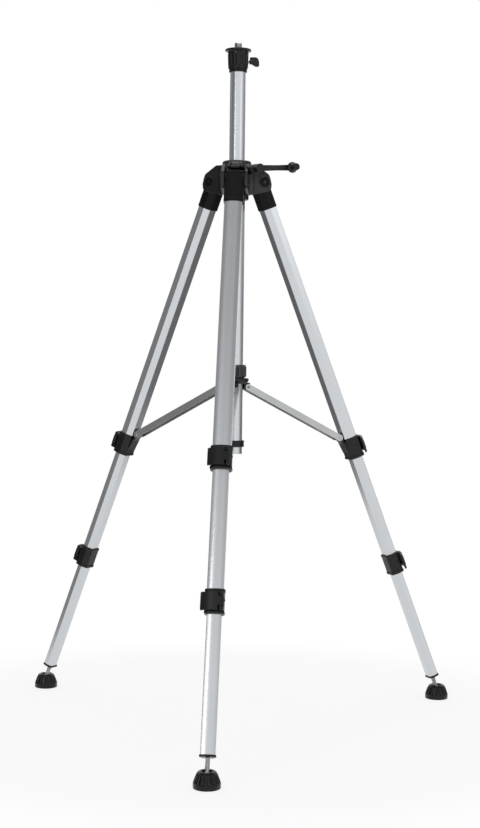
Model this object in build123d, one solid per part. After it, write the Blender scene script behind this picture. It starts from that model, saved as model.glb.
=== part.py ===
from build123d import *
import os
from math import atan2, cos, degrees, hypot, pi, radians, sin, sqrt, tan

os.makedirs("parts", exist_ok=True)

# Stance: three legs named by letter, with the direction each one leans
leg_azimuths = {"a": -90.0, "b": 30.0, "c": 150.0}
leg_tilt = 22.7
pivot_radius = 51.0
ball_height = 22.0

# Lengths down a leg: pivot to upper clamp, clamp to clamp, clamp to end plug, plug to ball
upper_reach = 599.0
mid_reach = 278.0
low_reach = 277.0
rod_reach = 36.0

# Fits between parts
run_gap = 0.05
slide_gap = 0.4
side_gap = 0.5
ball_gap = 0.15
spin_gap = 0.3
cut_past = 1.0

# Leg tube section: flat inner face, two oblique faces, flat sides, bowed outer face
leg_width = 36.0
leg_inner_flat = 22.0
leg_inner_depth = 15.0
leg_outer_depth = 15.0
leg_shoulder = 10.5
oblique_rise = 12.1
leg_corner = 1.4
leg_wall = 1.5
mid_gap = 0.9
low_gap = 0.4

# Leg tubes, their seats and the end plug
socket_end = 56.0
tube_seat = 24.0
tube_past_clamp = 8.0
mid_inside_length = 270.0
low_inside_length = 260.0
plug_flange = 4.2
plug_insert = 22.0
plug_lip = 1.5

# Leg bracket and its pivot bolt
bracket_wall = 2.0
bracket_head = 14.0
eye_wall = 8.0
pivot_pin = 6.0
pivot_cap_lip = 4.0
pivot_cap_height = 4.5
pivot_seat = 2.5

# Leg clamps and the flip levers on their outer faces
clamp_height = 47.0
clamp_wall = 2.4
clamp_rim = 1.0
clamp_rim_height = 5.0
ring_height = 7.0
hinge_pin = 2.0
hinge_wall = 3.0
hinge_clear = 1.0
hinge_inset = 5.0
ear_gap = 0.5
knuckle_height = 18.0
lever_height = 34.0
lever_drop = 1.5
lever_plate = 4.6
lever_back_rise = 10.2
lever_middle = 6.0
lever_overhang = 8.0
lever_tip_rise = 1.0

# Spreader link between hub and upper clamps
lug_above = 32.0
lug_stand = 9.4
lug_side_gap = 1.3
lug_nose = 4.5
lug_hole = 2.2
lug_root = 8.0
notch_side_gap = 2.0
notch_depth = 24.0
hub_pin_drop = 423.52
hub_pin_stand = 9.75
hub_pin = 2.0
arm_width = 24.0
arm_height = 13.2
arm_wall = 1.2
arm_cut_hub = 12.0
arm_cut_leg = 40.0
rivet_radius = 2.6
rivet_height = 1.2

# Spreader hub and its twist lock
hub_ring_lip = 2.5
hub_ring_height = 11.6
hub_ring_gap = 0.6
hub_neck_wall = 2.35
hub_neck_height = 20.2
hub_blade_gap = 0.6
hub_blade_nose = 4.6
lock_wall = 4.3
lock_gap = 1.5
lock_cover = 1.4
lock_lip = 6.0

# Centre column, its guide tube and end stop
column_radius = 16.25
column_wall = 1.5
column_length = 543.0
column_raised = 181.3
column_plug_height = 12.0
guide_wall = 1.0
guide_length = 542.0
stop_wall = 4.25
stop_above = 14.4
stop_height = 13.5

# Lift gear at the back of the column
gear_module = 1.5
gear_teeth = 12
gear_addendum = 1.2
gear_dedendum = 1.5
gear_backlash = 0.5
pinion_tip_thin = 1.6
pinion_root_thin = 0.2
pressure_angle = 20.0
gear_width = 7.0
rack_width = 8.0
rack_back = 4.8
lift_rise = 20.18
pinion_shaft = 3.5
housing_side_wall = 14.0
housing_back_wall = 3.75
housing_top_wall = 3.3

# Crown casting, with heights taken from the leg pivots
barrel_wall = 7.25
barrel_drop = 37.82
collar_lip = 5.0
collar_rise = 32.78
collar_height = 9.1
guide_socket = 18.0
cheek_thick = 7.0
cheek_out = 16.6
cheek_drop = 19.12
cheek_root_drop = 27.82
cheek_bevel = 3.0
cheek_bevel_rise = 8.0
cheek_waist = 4.0
cheek_draft = 1.0
cheek_round = 6.0
cheek_flat_in = 17.0
cheek_crest_out = 10.0
cheek_crest_rise = 16.18
cheek_web = 14.0

# Crank
crank_azimuth = -55.5
crank_rest = 4.4
sleeve_wall = 4.5
sleeve_end = 78.0
crank_shaft = 5.0
crank_shaft_start = 30.0
crank_hub_wall = 4.0
crank_hub_length = 15.4
crank_gap = 0.6
crank_arm_length = 74.5
crank_arm_height = 12.0
crank_arm_thick = 8.0
crank_cover = 2.0
knob_pin = 3.0
knob_disc = 11.0
knob_disc_height = 5.0
knob_grip = 7.3
knob_length = 21.7
knob_step = 2.0
knob_edge = 3.0
knob_cover = 4.0

# Bull's-eye level in front
level_reach = 45.5
level_rim = 2.0
level_pad_rise = 21.18
level_pad_height = 7.0
level_ring = 13.5
level_ring_wall = 3.0
level_ring_height = 6.5
level_glass_recess = 1.4

# Head with its threaded stud and wing screw
cap_lip = 2.35
cap_height = 6.0
post_radius = 12.0
post_height = 24.0
head_gap = 0.3
head_wall = 8.6
head_flare = 0.8
head_web = 2.0
plate_thick = 6.1
plate_lip = 5.7
stud_radius = 7.94
stud_shoulder = 0.5
stud_length = 13.2
stud_root = 9.0
wing_rise = 15.0
wing_shank = 3.0
wing_tip_gap = 0.6
wing_clear = 2.6
wing_length = 19.5
wing_half = 10.0
wing_thick = 4.5
wing_neck = 1.0
wing_flare = 6.0
wing_corner = 3.0
wing_collar = 2.0

# Swivel foot
foot_rod = 4.5
foot_ball = 7.0
foot_radius = 25.2
foot_band = 8.5
foot_collar = 8.5
foot_round = 3.0
foot_rim = 5.2
foot_mouth = 12.0
mouth_rise = 1.8
mouth_step = 0.5

# Places along a leg, measured down from its pivot
clamp_one = upper_reach
clamp_two = clamp_one + mid_reach
plug_top = clamp_two + low_reach
leg_length = plug_top + rod_reach
mid_growth = -leg_wall - mid_gap
low_growth = mid_growth - leg_wall - low_gap
upper_end = clamp_one + tube_past_clamp
mid_start = clamp_one - mid_inside_length
mid_end = clamp_two + tube_past_clamp
low_start = clamp_two - low_inside_length
lug_station = clamp_one - lug_above
lug_inset = leg_inner_depth + lug_stand

# Leg pivots and feet
pivot_height = ball_height + leg_length * cos(radians(leg_tilt))
foot_reach = pivot_radius + leg_length * sin(radians(leg_tilt))
foot_height = ball_height + foot_collar
foot_shoulder = foot_height - foot_round
foot_top_radius = foot_mouth + foot_rim
foot_shoulder_radius = foot_top_radius + foot_round

# Bracket, clamp and lever sizes
bracket_eye = pivot_pin + eye_wall
pivot_cap = pivot_pin + pivot_cap_lip
hinge_barrel = hinge_pin + hinge_wall
hinge_rise = hinge_barrel + hinge_clear
hinge_offset = leg_width / 2 - hinge_inset
lever_tip = leg_width / 2 + lever_overhang

# Column and guide tube
guide_radius = column_radius + side_gap + guide_wall
collar_bottom = pivot_height + collar_rise
collar_top = collar_bottom + collar_height
column_top = collar_top + column_raised
column_bottom = column_top - column_length
barrel_bottom = pivot_height - barrel_drop
guide_top = barrel_bottom + guide_socket
guide_bottom = guide_top - guide_length
stop_radius = guide_radius + stop_wall
stop_bottom = guide_bottom + stop_above

# Crown casting
barrel_radius = guide_radius + barrel_wall
collar_radius = barrel_radius + collar_lip
cheek_gap = leg_width / 2 + bracket_wall + side_gap
cheek_outer = cheek_gap + cheek_thick
cheek_reach = pivot_radius + cheek_out
cheek_low = pivot_height - cheek_drop
cheek_root = pivot_height - cheek_root_drop
cheek_flat = pivot_radius - cheek_flat_in
cheek_crest = pivot_radius + cheek_crest_out
cheek_crest_height = pivot_height + cheek_crest_rise
level_pad = level_ring + level_rim
level_pad_bottom = pivot_height + level_pad_rise
level_pad_top = level_pad_bottom + level_pad_height
level_ring_top = level_pad_top + level_ring_height
level_glass = level_ring - level_ring_wall

# Lift gear and its housing
lift_height = pivot_height + lift_rise
pitch_radius = gear_module * gear_teeth / 2
rack_pitch = gear_module * pi
pitch_line = sqrt(column_radius**2 - (rack_width / 2) ** 2) - gear_addendum
pinion_axis = pitch_line + pitch_radius
gear_room = pitch_radius + gear_addendum + side_gap
gear_half_room = gear_width / 2 + side_gap
housing_half = gear_half_room + housing_side_wall
housing_reach = pinion_axis + gear_room + housing_back_wall
housing_rise = gear_room + housing_top_wall

# Crank, measured out along its shaft
sleeve_radius = crank_shaft + sleeve_wall
crank_hub = crank_shaft + crank_hub_wall
crank_hub_start = sleeve_end + crank_gap
arm_far = crank_hub_start + crank_hub_length
arm_near = arm_far - crank_arm_thick
knob_floor = arm_far + spin_gap
knob_end = knob_floor + knob_length

# Spreader hub, lock and arms
hub_pin_height = pivot_height - hub_pin_drop
hub_pin_radius = guide_radius + hub_pin_stand
hub_ring = hub_pin_radius + hub_ring_lip
hub_bottom = hub_pin_height + arm_height / 2 + hub_ring_gap
hub_top = hub_bottom + hub_ring_height
hub_neck = guide_radius + spin_gap + hub_neck_wall
hub_neck_top = hub_top + hub_neck_height
lock_radius = hub_neck + spin_gap + lock_wall
lock_bottom = hub_top + lock_gap
lock_top = hub_neck_top + lock_cover + lock_lip
arm_half = arm_width / 2
arm_mid = arm_height / 2
arm_inside = arm_half - arm_wall
hub_blade = 2 * (arm_inside - hub_blade_gap)
lug_thick = 2 * (arm_inside - lug_side_gap)
notch_width = arm_width + 2 * notch_side_gap
lug_radius = pivot_radius + lug_station * sin(radians(leg_tilt)) - lug_inset * cos(radians(leg_tilt))
lug_height = pivot_height - lug_station * cos(radians(leg_tilt)) - lug_inset * sin(radians(leg_tilt))
arm_length = hypot(lug_radius - hub_pin_radius, hub_pin_height - lug_height)
arm_drop = degrees(atan2(hub_pin_height - lug_height, lug_radius - hub_pin_radius))

# Head
cap_radius = column_radius + cap_lip
head_bottom = column_top + cap_height + head_gap
head_low_radius = post_radius + head_wall
head_high_radius = head_low_radius + head_flare
plate_bottom = head_bottom + post_height + head_web + stud_root
plate_top = plate_bottom + plate_thick
plate_radius = head_high_radius + plate_lip
stud_neck = stud_radius + stud_shoulder
stud_top = plate_top + stud_length
wing_height = head_bottom + wing_rise
wing_tip = post_radius + wing_tip_gap
wing_start = head_high_radius + wing_clear
wing_end = wing_start + wing_length


def save(shape, name):
    export_step(shape, "parts/" + name + ".step")


def rod(radius, low, high):
    return Pos(0, 0, (low + high) / 2) * Cylinder(radius, high - low)


def pipe(radius, bore, low, high):
    return rod(radius, low, high) - rod(bore, low - cut_past, high + cut_past)


def cross_rod(radius, low, high):
    return Rot(0, 90, 0) * rod(radius, low, high)


def block(x0, x1, y0, y1, z0, z1):
    centre = Pos((x0 + x1) / 2, (y0 + y1) / 2, (z0 + z1) / 2)
    return centre * Box(x1 - x0, y1 - y0, z1 - z0)


def side_plate(points, half):
    # A plate drawn in the radial plane, with points given as (outward, up)
    face = make_face(Polyline(*points, close=True))
    upright = extrude(Plane.YZ * face, amount=2 * half)
    return Pos(-half, 0, 0) * upright


def turned(points):
    # A solid of revolution about Z, with points given as (radius, height)
    face = make_face(Polyline(*[(r, 0, z) for r, z in points], close=True))
    return revolve(face, axis=Axis.Z)


def ring_place(shape, azimuth):
    return Rot(0, 0, azimuth - 90) * shape


def leg_place(shape, azimuth):
    leaned = Pos(0, pivot_radius, pivot_height) * Rot(leg_tilt, 0, 0) * shape
    return ring_place(leaned, azimuth)


def leg_section(growth):
    half = leg_width / 2
    inner = leg_inner_flat / 2
    with BuildSketch() as outline:
        with BuildLine():
            Polyline(
                (-half, leg_shoulder),
                (-half, oblique_rise - leg_inner_depth),
                (-inner, -leg_inner_depth),
                (inner, -leg_inner_depth),
                (half, oblique_rise - leg_inner_depth),
                (half, leg_shoulder),
            )
            ThreePointArc((half, leg_shoulder), (0, leg_outer_depth), (-half, leg_shoulder))
        make_face()
        if growth != 0:
            offset(amount=growth, kind=Kind.INTERSECTION)
        fillet(outline.vertices(), leg_corner)
    return outline.sketch


def leg_bar(growth, start, end):
    return Pos(0, 0, -end) * extrude(leg_section(growth), amount=end - start)


def leg_tube(growth, start, end):
    return leg_bar(growth, start, end) - leg_bar(growth - leg_wall, start - cut_past, end + cut_past)


# Crown casting
def crank_place(shape):
    # Shapes drawn along +Z are laid along the crank axis
    return Pos(0, 0, lift_height) * Rot(0, 0, crank_azimuth) * Rot(0, 90, 0) * Rot(0, 0, crank_rest) * shape


crown = rod(barrel_radius, barrel_bottom, collar_bottom)
crown += rod(collar_radius, collar_bottom, collar_top)
cheek_profile = [
    (barrel_radius / 2, collar_bottom),
    (cheek_flat, collar_bottom),
    (cheek_crest, cheek_crest_height),
    (cheek_reach - cheek_bevel, pivot_height + cheek_bevel_rise),
    (cheek_reach, pivot_height - cheek_waist),
    (cheek_reach - cheek_draft, cheek_low + cheek_round),
    (cheek_reach - cheek_round, cheek_low),
    (barrel_radius, cheek_root),
    (barrel_radius / 2, cheek_root),
]
for azimuth in leg_azimuths.values():
    plate = side_plate(cheek_profile, cheek_thick / 2)
    for side in (-1, 1):
        cheek = Pos(side * (cheek_gap + cheek_thick / 2), 0, 0) * plate
        crown += ring_place(cheek, azimuth)
    web = block(
        -cheek_outer, cheek_outer, barrel_radius / 2, cheek_flat, collar_bottom - cheek_web, collar_bottom
    )
    crown += ring_place(web, azimuth)
crown += block(
    -housing_half, housing_half, 0, housing_reach, lift_height - housing_rise, lift_height + housing_rise
)
crown += crank_place(rod(sleeve_radius, 0, sleeve_end))
crown += Pos(0, -level_reach, 0) * rod(level_pad, level_pad_bottom, level_pad_top)
crown += block(-level_pad, level_pad, -level_reach, 0, level_pad_bottom, level_pad_top)
crown -= Pos(0, -level_reach, 0) * rod(level_ring + side_gap, level_pad_top, level_ring_top)
crown -= rod(column_radius + spin_gap, barrel_bottom - cut_past, collar_top + cut_past)
crown -= rod(guide_radius, barrel_bottom - cut_past, guide_top)
gear_axis = Pos(0, pinion_axis, lift_height)
crown -= gear_axis * cross_rod(gear_room, -gear_half_room, gear_half_room)
crown -= block(
    -gear_half_room, gear_half_room, 0, pinion_axis, lift_height - gear_room, lift_height + gear_room
)
crown -= gear_axis * cross_rod(pinion_shaft + run_gap, -housing_half - cut_past, housing_half + cut_past)
crown -= crank_place(rod(crank_shaft + run_gap, crank_shaft_start - side_gap, sleeve_end + cut_past))
for azimuth in leg_azimuths.values():
    bolt_line = Pos(0, pivot_radius, pivot_height)
    bolt_hole = cross_rod(pivot_pin, -cheek_outer - cut_past, cheek_outer + cut_past)
    crown -= ring_place(bolt_line * bolt_hole, azimuth)
    for turn in (0, 180):
        seat = cross_rod(pivot_cap + side_gap, cheek_outer - pivot_seat, cheek_outer + pivot_seat)
        crown -= ring_place(bolt_line * Rot(0, 0, turn) * seat, azimuth)
save(crown, "crown_casting")

# Pivot bolts, one through each pair of cheeks
bolts = []
for azimuth in leg_azimuths.values():
    bolt = cross_rod(pivot_pin, -cheek_outer + pivot_seat, cheek_outer - pivot_seat)
    for side in (0, 180):
        cap = cross_rod(pivot_cap, cheek_outer - pivot_seat, cheek_outer - pivot_seat + pivot_cap_height)
        bolt += Rot(0, 0, side) * cap
    bolts.append(ring_place(Pos(0, pivot_radius, pivot_height) * bolt, azimuth))
save(Compound(children=bolts), "leg_pivot_bolts")

# Guide tube under the casting and its end stop
save(pipe(guide_radius, guide_radius - guide_wall, guide_bottom, guide_top), "guide_tube")
save(pipe(stop_radius, guide_radius, stop_bottom, stop_bottom + stop_height), "guide_stop_ring")

# Bull's-eye level
level_base = pipe(level_ring, level_glass, level_pad_top, level_ring_top)
save(Pos(0, -level_reach, 0) * level_base, "level_ring")
glass = rod(level_glass, level_pad_top, level_ring_top - level_glass_recess)
save(Pos(0, -level_reach, 0) * glass, "level_glass")

# Centre column with its rack slot, rack, end plug and cap
slot_half = rack_width / 2
rack_low = column_bottom + column_plug_height
rack_high = column_top - cap_height
column = pipe(column_radius, column_radius - column_wall, column_bottom, column_top)
column -= block(-slot_half, slot_half, 0, column_radius + cut_past, rack_low, rack_high)
save(column, "column_tube")
save(rod(column_radius - column_wall, column_bottom, rack_low), "column_plug")

flank = tan(radians(pressure_angle))
tooth_half = rack_pitch / 4 - gear_backlash / 4
tip_half = tooth_half - gear_addendum * flank
root_half = tooth_half + gear_dedendum * flank
rack_tip = pitch_line + gear_addendum - run_gap
rack_root = pitch_line - gear_dedendum
rack_points = [(rack_root - rack_back, rack_low), (rack_root, rack_low)]
first_tooth = int((lift_height - rack_low) / rack_pitch - 0.5) - 1
last_tooth = int((rack_high - lift_height) / rack_pitch - 0.5) - 1
for index in range(-first_tooth, last_tooth + 1):
    middle = lift_height + (index + 0.5) * rack_pitch
    rack_points.append((rack_root, middle - root_half))
    rack_points.append((rack_tip, middle - tip_half))
    rack_points.append((rack_tip, middle + tip_half))
    rack_points.append((rack_root, middle + root_half))
rack_points.append((rack_root, rack_high))
rack_points.append((rack_root - rack_back, rack_high))
save(side_plate(rack_points, slot_half), "column_rack")

cap = rod(cap_radius, column_top, column_top + cap_height)
cap += rod(column_radius - column_wall, rack_high, column_top)
cap += rod(post_radius, column_top + cap_height, column_top + cap_height + post_height)
save(cap, "column_cap")

# Lift pinion: thin stub teeth that roll on the rack
pinion_tip = pitch_radius + gear_addendum - run_gap
pinion_root = pitch_radius - gear_dedendum
pinion_face = Circle(pinion_root + run_gap)
tooth_angle = 360.0 / gear_teeth
pinion_tip_half = tooth_half - gear_addendum * flank * pinion_tip_thin
pinion_root_half = tooth_half + gear_dedendum * flank * pinion_root_thin
for index in range(gear_teeth):
    tooth = make_face(
        Polyline(
            (0, -pinion_root_half),
            (pinion_root, -pinion_root_half),
            (pitch_radius, -tooth_half),
            (pinion_tip, -pinion_tip_half),
            (pinion_tip, pinion_tip_half),
            (pitch_radius, tooth_half),
            (pinion_root, pinion_root_half),
            (0, pinion_root_half),
            close=True,
        )
    )
    pinion_face += Rot(0, 0, 180 + index * tooth_angle) * tooth
pinion = Pos(-gear_width / 2, 0, 0) * extrude(Plane.YZ * pinion_face, amount=gear_width)
pinion += cross_rod(pinion_shaft, -housing_half, housing_half)
save(gear_axis * pinion, "lift_pinion")

# Crank: shaft and knob pin in steel, arm with hub, turning knob
crank_steel = crank_place(rod(crank_shaft, crank_shaft_start, arm_far - crank_cover))
knob_line = Pos(0, crank_arm_length, 0)
save(crank_steel, "crank_shaft")
save(crank_place(knob_line * rod(knob_pin, arm_near, knob_end - knob_cover)), "crank_knob_pin")
crank_arm = rod(crank_hub, crank_hub_start, arm_far)
crank_arm += block(-crank_arm_height / 2, crank_arm_height / 2, 0, crank_arm_length, arm_near, arm_far)
crank_arm += knob_line * rod(crank_arm_height / 2, arm_near, arm_far)
crank_arm -= rod(crank_shaft, crank_hub_start - cut_past, arm_far - crank_cover)
crank_arm -= knob_line * rod(knob_pin, arm_near - cut_past, arm_far + cut_past)
save(crank_place(crank_arm), "crank_arm")
disc_top = knob_floor + knob_disc_height
knob = turned(
    [
        (0, knob_floor),
        (knob_disc, knob_floor),
        (knob_disc, disc_top),
        (knob_grip, disc_top + knob_step),
        (knob_grip, knob_end - knob_edge),
        (knob_grip - knob_step, knob_end),
        (0, knob_end),
    ]
)
knob -= rod(knob_pin + run_gap, knob_floor - cut_past, knob_end - knob_cover + spin_gap)
save(crank_place(knob_line * knob), "crank_knob")

# Head: fluted body on the column post, plate, stud
head = turned(
    [
        (0, head_bottom),
        (head_low_radius, head_bottom),
        (head_high_radius, plate_bottom),
        (0, plate_bottom),
    ]
)
head -= rod(post_radius + run_gap, head_bottom - cut_past, column_top + cap_height + post_height + head_gap)
head -= rod(stud_neck, plate_bottom - stud_root, plate_bottom + cut_past)
head -= Pos(0, 0, wing_height) * cross_rod(wing_shank + run_gap, 0, plate_radius)
save(head, "head_body")
save(pipe(plate_radius, stud_neck, plate_bottom, plate_top), "head_plate")
stud = rod(stud_neck, plate_bottom - stud_root, plate_top) + rod(stud_radius, plate_top, stud_top)
save(stud, "head_stud")

# Wing screw that locks the head
shank = cross_rod(wing_shank, wing_tip, wing_start + wing_half)
save(Pos(0, 0, wing_height) * shank, "wing_screw_shank")
wing_profile = [
    (wing_start, wing_shank + wing_neck),
    (wing_start + wing_flare, wing_half),
    (wing_end - wing_corner, wing_half),
    (wing_end, wing_half - wing_corner),
    (wing_end, -wing_half + wing_corner),
    (wing_end - wing_corner, -wing_half),
    (wing_start + wing_flare, -wing_half),
    (wing_start, -wing_shank - wing_neck),
]
wing = Rot(0, 0, -90) * side_plate(wing_profile, wing_thick / 2)
wing += cross_rod(wing_shank + wing_collar, wing_start, wing_start + wing_half)
wing -= cross_rod(wing_shank, wing_start - cut_past, wing_start + wing_half)
save(Pos(0, 0, wing_height) * wing, "wing_screw_grip")

# Spreader hub, its pins and the twist lock
hub = rod(hub_ring, hub_bottom, hub_top)
hub += rod(hub_neck, hub_top, hub_neck_top)
pins = []
for azimuth in leg_azimuths.values():
    nose = Pos(0, hub_pin_radius, hub_pin_height) * cross_rod(hub_blade_nose, -hub_blade / 2, hub_blade / 2)
    web = block(
        -hub_blade / 2,
        hub_blade / 2,
        guide_radius,
        hub_pin_radius + hub_blade_nose,
        hub_pin_height,
        hub_bottom + hub_ring_gap,
    )
    back = block(
        -hub_blade / 2,
        hub_blade / 2,
        guide_radius,
        hub_pin_radius,
        hub_pin_height - hub_blade_nose,
        hub_bottom + hub_ring_gap,
    )
    hub += ring_place(nose + web + back, azimuth)
    reach = arm_half + rivet_height
    pin = cross_rod(hub_pin, -reach, reach)
    pins.append(ring_place(Pos(0, hub_pin_radius, hub_pin_height) * pin, azimuth))
hub -= rod(guide_radius + spin_gap, hub_pin_height - hub_ring, hub_neck_top + cut_past)
for pin in pins:
    hub -= pin
save(hub, "spreader_hub")
save(Compound(children=pins), "spreader_hub_pins")
lock = pipe(lock_radius, hub_neck + spin_gap, lock_bottom, lock_top - lock_lip)
lock += pipe(lock_radius, guide_radius + spin_gap, lock_top - lock_lip, lock_top)
save(lock, "spreader_lock_collar")


# Spreader arm: inverted channel with round ends and cut-back web
def spreader_arm():
    arm = block(-arm_half, arm_half, 0, arm_length, -arm_mid, arm_mid)
    for end in (0, arm_length):
        arm += Pos(0, end, 0) * cross_rod(arm_mid, -arm_half, arm_half)
    past = arm_length + arm_height
    arm -= block(-arm_inside, arm_inside, -arm_height, past, -arm_height, arm_mid - arm_wall)
    arm -= block(-arm_inside, arm_inside, -arm_height, arm_cut_hub, -arm_height, arm_height)
    arm -= block(-arm_inside, arm_inside, arm_length - arm_cut_leg, past, -arm_height, arm_height)
    arm -= cross_rod(hub_pin + run_gap, -arm_width, arm_width)
    for side in (0, 180):
        rivet = cross_rod(rivet_radius, arm_half, arm_half + rivet_height)
        arm += Pos(0, arm_length, 0) * Rot(0, 0, side) * rivet
    return Pos(0, hub_pin_radius, hub_pin_height) * Rot(-arm_drop, 0, 0) * arm


def leg_bracket():
    top = -bracket_head
    bracket = leg_bar(bracket_wall, top, socket_end)
    bracket += cross_rod(bracket_eye, -leg_width / 2 - bracket_wall, leg_width / 2 + bracket_wall)
    bracket -= leg_bar(0, tube_seat, socket_end + cut_past)
    bracket -= cross_rod(pivot_pin + run_gap, -leg_width, leg_width)
    return bracket


def clamp_hinge(growth, station):
    return Pos(-hinge_offset, leg_outer_depth + growth + hinge_rise, -lever_drop - station)


def leg_clamp(tube_growth, inner_growth, station):
    outer = tube_growth + clamp_wall
    top = station - clamp_height / 2
    bottom = station + clamp_height / 2
    clamp = leg_bar(outer, top, bottom)
    clamp += leg_bar(outer + clamp_rim, top, top + clamp_rim_height)
    clamp += leg_bar(outer + clamp_rim, bottom - ring_height, bottom)
    hinge = clamp_hinge(outer, station)
    half = knuckle_height / 2 + spin_gap
    knuckle = hinge_barrel - ear_gap
    for side in (-1, 1):
        low = min(side * half, side * lever_height / 2)
        high = max(side * half, side * lever_height / 2)
        ear = rod(knuckle, low, high)
        ear += block(-knuckle, knuckle, -hinge_rise - clamp_wall * 2, 0, low, high)
        clamp += hinge * ear
    clamp += hinge * rod(hinge_pin, -half - cut_past, half + cut_past)
    clamp -= leg_bar(tube_growth, top - cut_past, station + tube_past_clamp)
    clamp -= leg_bar(inner_growth + slide_gap, station, bottom + cut_past)
    return clamp


def spreader_lug():
    lug_line = Pos(0, -lug_inset, -lug_station)
    wall = -leg_inner_depth - clamp_wall / 2
    notch_end = clamp_one - clamp_height / 2 + notch_depth
    lug = side_plate(
        [
            (wall, -notch_end),
            (wall, -notch_end - lug_root),
            (wall - clamp_wall, -notch_end - lug_root),
            (-lug_inset - lug_nose, -lug_station),
            (-lug_inset + lug_nose, -lug_station),
            (wall - cut_past, -lug_station - lug_nose),
        ],
        lug_thick / 2,
    )
    lug += lug_line * cross_rod(lug_nose, -lug_thick / 2, lug_thick / 2)
    lug -= lug_line * cross_rod(lug_hole, -lug_thick, lug_thick)
    return lug


def clamp_lever(growth, station):
    # A bowed plate from the hinge across the outer face to a free tip
    face = leg_outer_depth + growth
    hinge = clamp_hinge(growth, station)
    hinge_height = face + hinge_rise
    tip_height = face + lever_tip_rise
    with BuildSketch() as outline:
        with BuildLine():
            ThreePointArc(
                (-hinge_offset, hinge_height + hinge_barrel),
                (lever_middle, face + lever_back_rise),
                (lever_tip, tip_height),
            )
            Line((lever_tip, tip_height), (lever_tip, tip_height - lever_plate))
            ThreePointArc(
                (lever_tip, tip_height - lever_plate),
                (lever_middle, face + lever_back_rise - lever_plate),
                (-hinge_offset, hinge_height),
            )
            Line((-hinge_offset, hinge_height), (-hinge_offset, hinge_height + hinge_barrel))
        make_face()
    low = -lever_drop - station - lever_height / 2
    plate = Pos(0, 0, low) * extrude(outline.sketch, amount=lever_height)
    knuckle_room = hinge * rod(hinge_barrel + side_gap, -lever_height, lever_height)
    plate -= knuckle_room - hinge * rod(hinge_barrel + cut_past, -knuckle_height / 2, knuckle_height / 2)
    lever = plate + hinge * rod(hinge_barrel, -knuckle_height / 2, knuckle_height / 2)
    lever -= hinge * rod(hinge_pin + run_gap, -lever_height, lever_height)
    return lever


def foot():
    shape = turned(
        [
            (0, 0),
            (foot_radius, 0),
            (foot_radius, foot_band),
            (foot_shoulder_radius, foot_shoulder),
            (foot_top_radius, foot_height),
            (0, foot_height),
        ]
    )
    shape -= Pos(0, 0, ball_height) * Sphere(foot_ball + ball_gap)
    mouth = turned(
        [
            (0, ball_height + mouth_rise),
            (foot_ball - mouth_step, ball_height + mouth_rise),
            (foot_mouth, foot_height + mouth_step),
            (0, foot_height + mouth_step),
        ]
    )
    return shape - mouth


# Legs: sliding sections, clamps, levers, spreader arms and feet
inner_notch = block(
    -notch_width / 2,
    notch_width / 2,
    -leg_width,
    -leg_inner_depth,
    -(clamp_one - clamp_height / 2 + notch_depth),
    -(clamp_one - clamp_height / 2 - cut_past),
)
for letter, azimuth in leg_azimuths.items():
    name = "leg_" + letter + "_"
    save(leg_place(leg_bracket(), azimuth), name + "bracket")
    save(leg_place(leg_tube(0, tube_seat, upper_end), azimuth), name + "upper_tube")
    upper_clamp = leg_clamp(0, mid_growth, clamp_one) - inner_notch
    upper_clamp += spreader_lug()
    save(leg_place(upper_clamp, azimuth), name + "upper_clamp")
    save(leg_place(clamp_lever(clamp_wall, clamp_one), azimuth), name + "upper_lever")
    save(leg_place(leg_tube(mid_growth, mid_start, mid_end), azimuth), name + "mid_tube")
    save(leg_place(leg_clamp(mid_growth, low_growth, clamp_two), azimuth), name + "mid_clamp")
    save(leg_place(clamp_lever(mid_growth + clamp_wall, clamp_two), azimuth), name + "mid_lever")
    save(leg_place(leg_tube(low_growth, low_start, plug_top), azimuth), name + "low_tube")
    plug = leg_bar(low_growth + plug_lip, plug_top, plug_top + plug_flange)
    plug += leg_bar(low_growth - leg_wall, plug_top - plug_insert, plug_top)
    plug -= rod(foot_rod, -plug_top - plug_flange - cut_past, -plug_top + plug_insert / 2)
    save(leg_place(plug, azimuth), name + "end_plug")
    steel = rod(foot_rod, -leg_length, -plug_top + plug_insert / 2)
    steel += Pos(0, 0, -leg_length) * Sphere(foot_ball)
    save(leg_place(steel, azimuth), name + "foot_rod")
    save(ring_place(Pos(0, foot_reach, 0) * foot(), azimuth), name + "foot")
    save(ring_place(spreader_arm(), azimuth), name + "spreader_arm")
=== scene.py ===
"""Folding survey tripod with a crank-raised column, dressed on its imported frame."""

import logging
import math
from dataclasses import dataclass, field
from enum import Enum
from typing import Callable, Optional, Sequence

import bmesh
import bpy
from mathutils import Matrix, Vector

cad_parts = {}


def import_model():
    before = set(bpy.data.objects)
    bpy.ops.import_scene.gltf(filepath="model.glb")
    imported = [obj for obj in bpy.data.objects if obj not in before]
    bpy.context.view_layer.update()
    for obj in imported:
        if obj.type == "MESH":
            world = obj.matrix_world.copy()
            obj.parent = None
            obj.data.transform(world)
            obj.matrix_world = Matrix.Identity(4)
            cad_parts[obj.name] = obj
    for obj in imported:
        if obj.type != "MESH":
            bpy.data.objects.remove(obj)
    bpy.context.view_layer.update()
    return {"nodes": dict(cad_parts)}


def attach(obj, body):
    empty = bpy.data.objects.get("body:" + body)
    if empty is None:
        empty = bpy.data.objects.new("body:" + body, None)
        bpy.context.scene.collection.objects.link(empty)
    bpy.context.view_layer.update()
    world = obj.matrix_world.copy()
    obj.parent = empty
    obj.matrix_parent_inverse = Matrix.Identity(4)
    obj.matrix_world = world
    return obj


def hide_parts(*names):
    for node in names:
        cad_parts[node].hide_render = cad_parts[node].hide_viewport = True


LOG = logging.getLogger("tripod")

Point = tuple[float, float]
Triple = tuple[float, float, float]
Colour = tuple[float, float, float]

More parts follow.
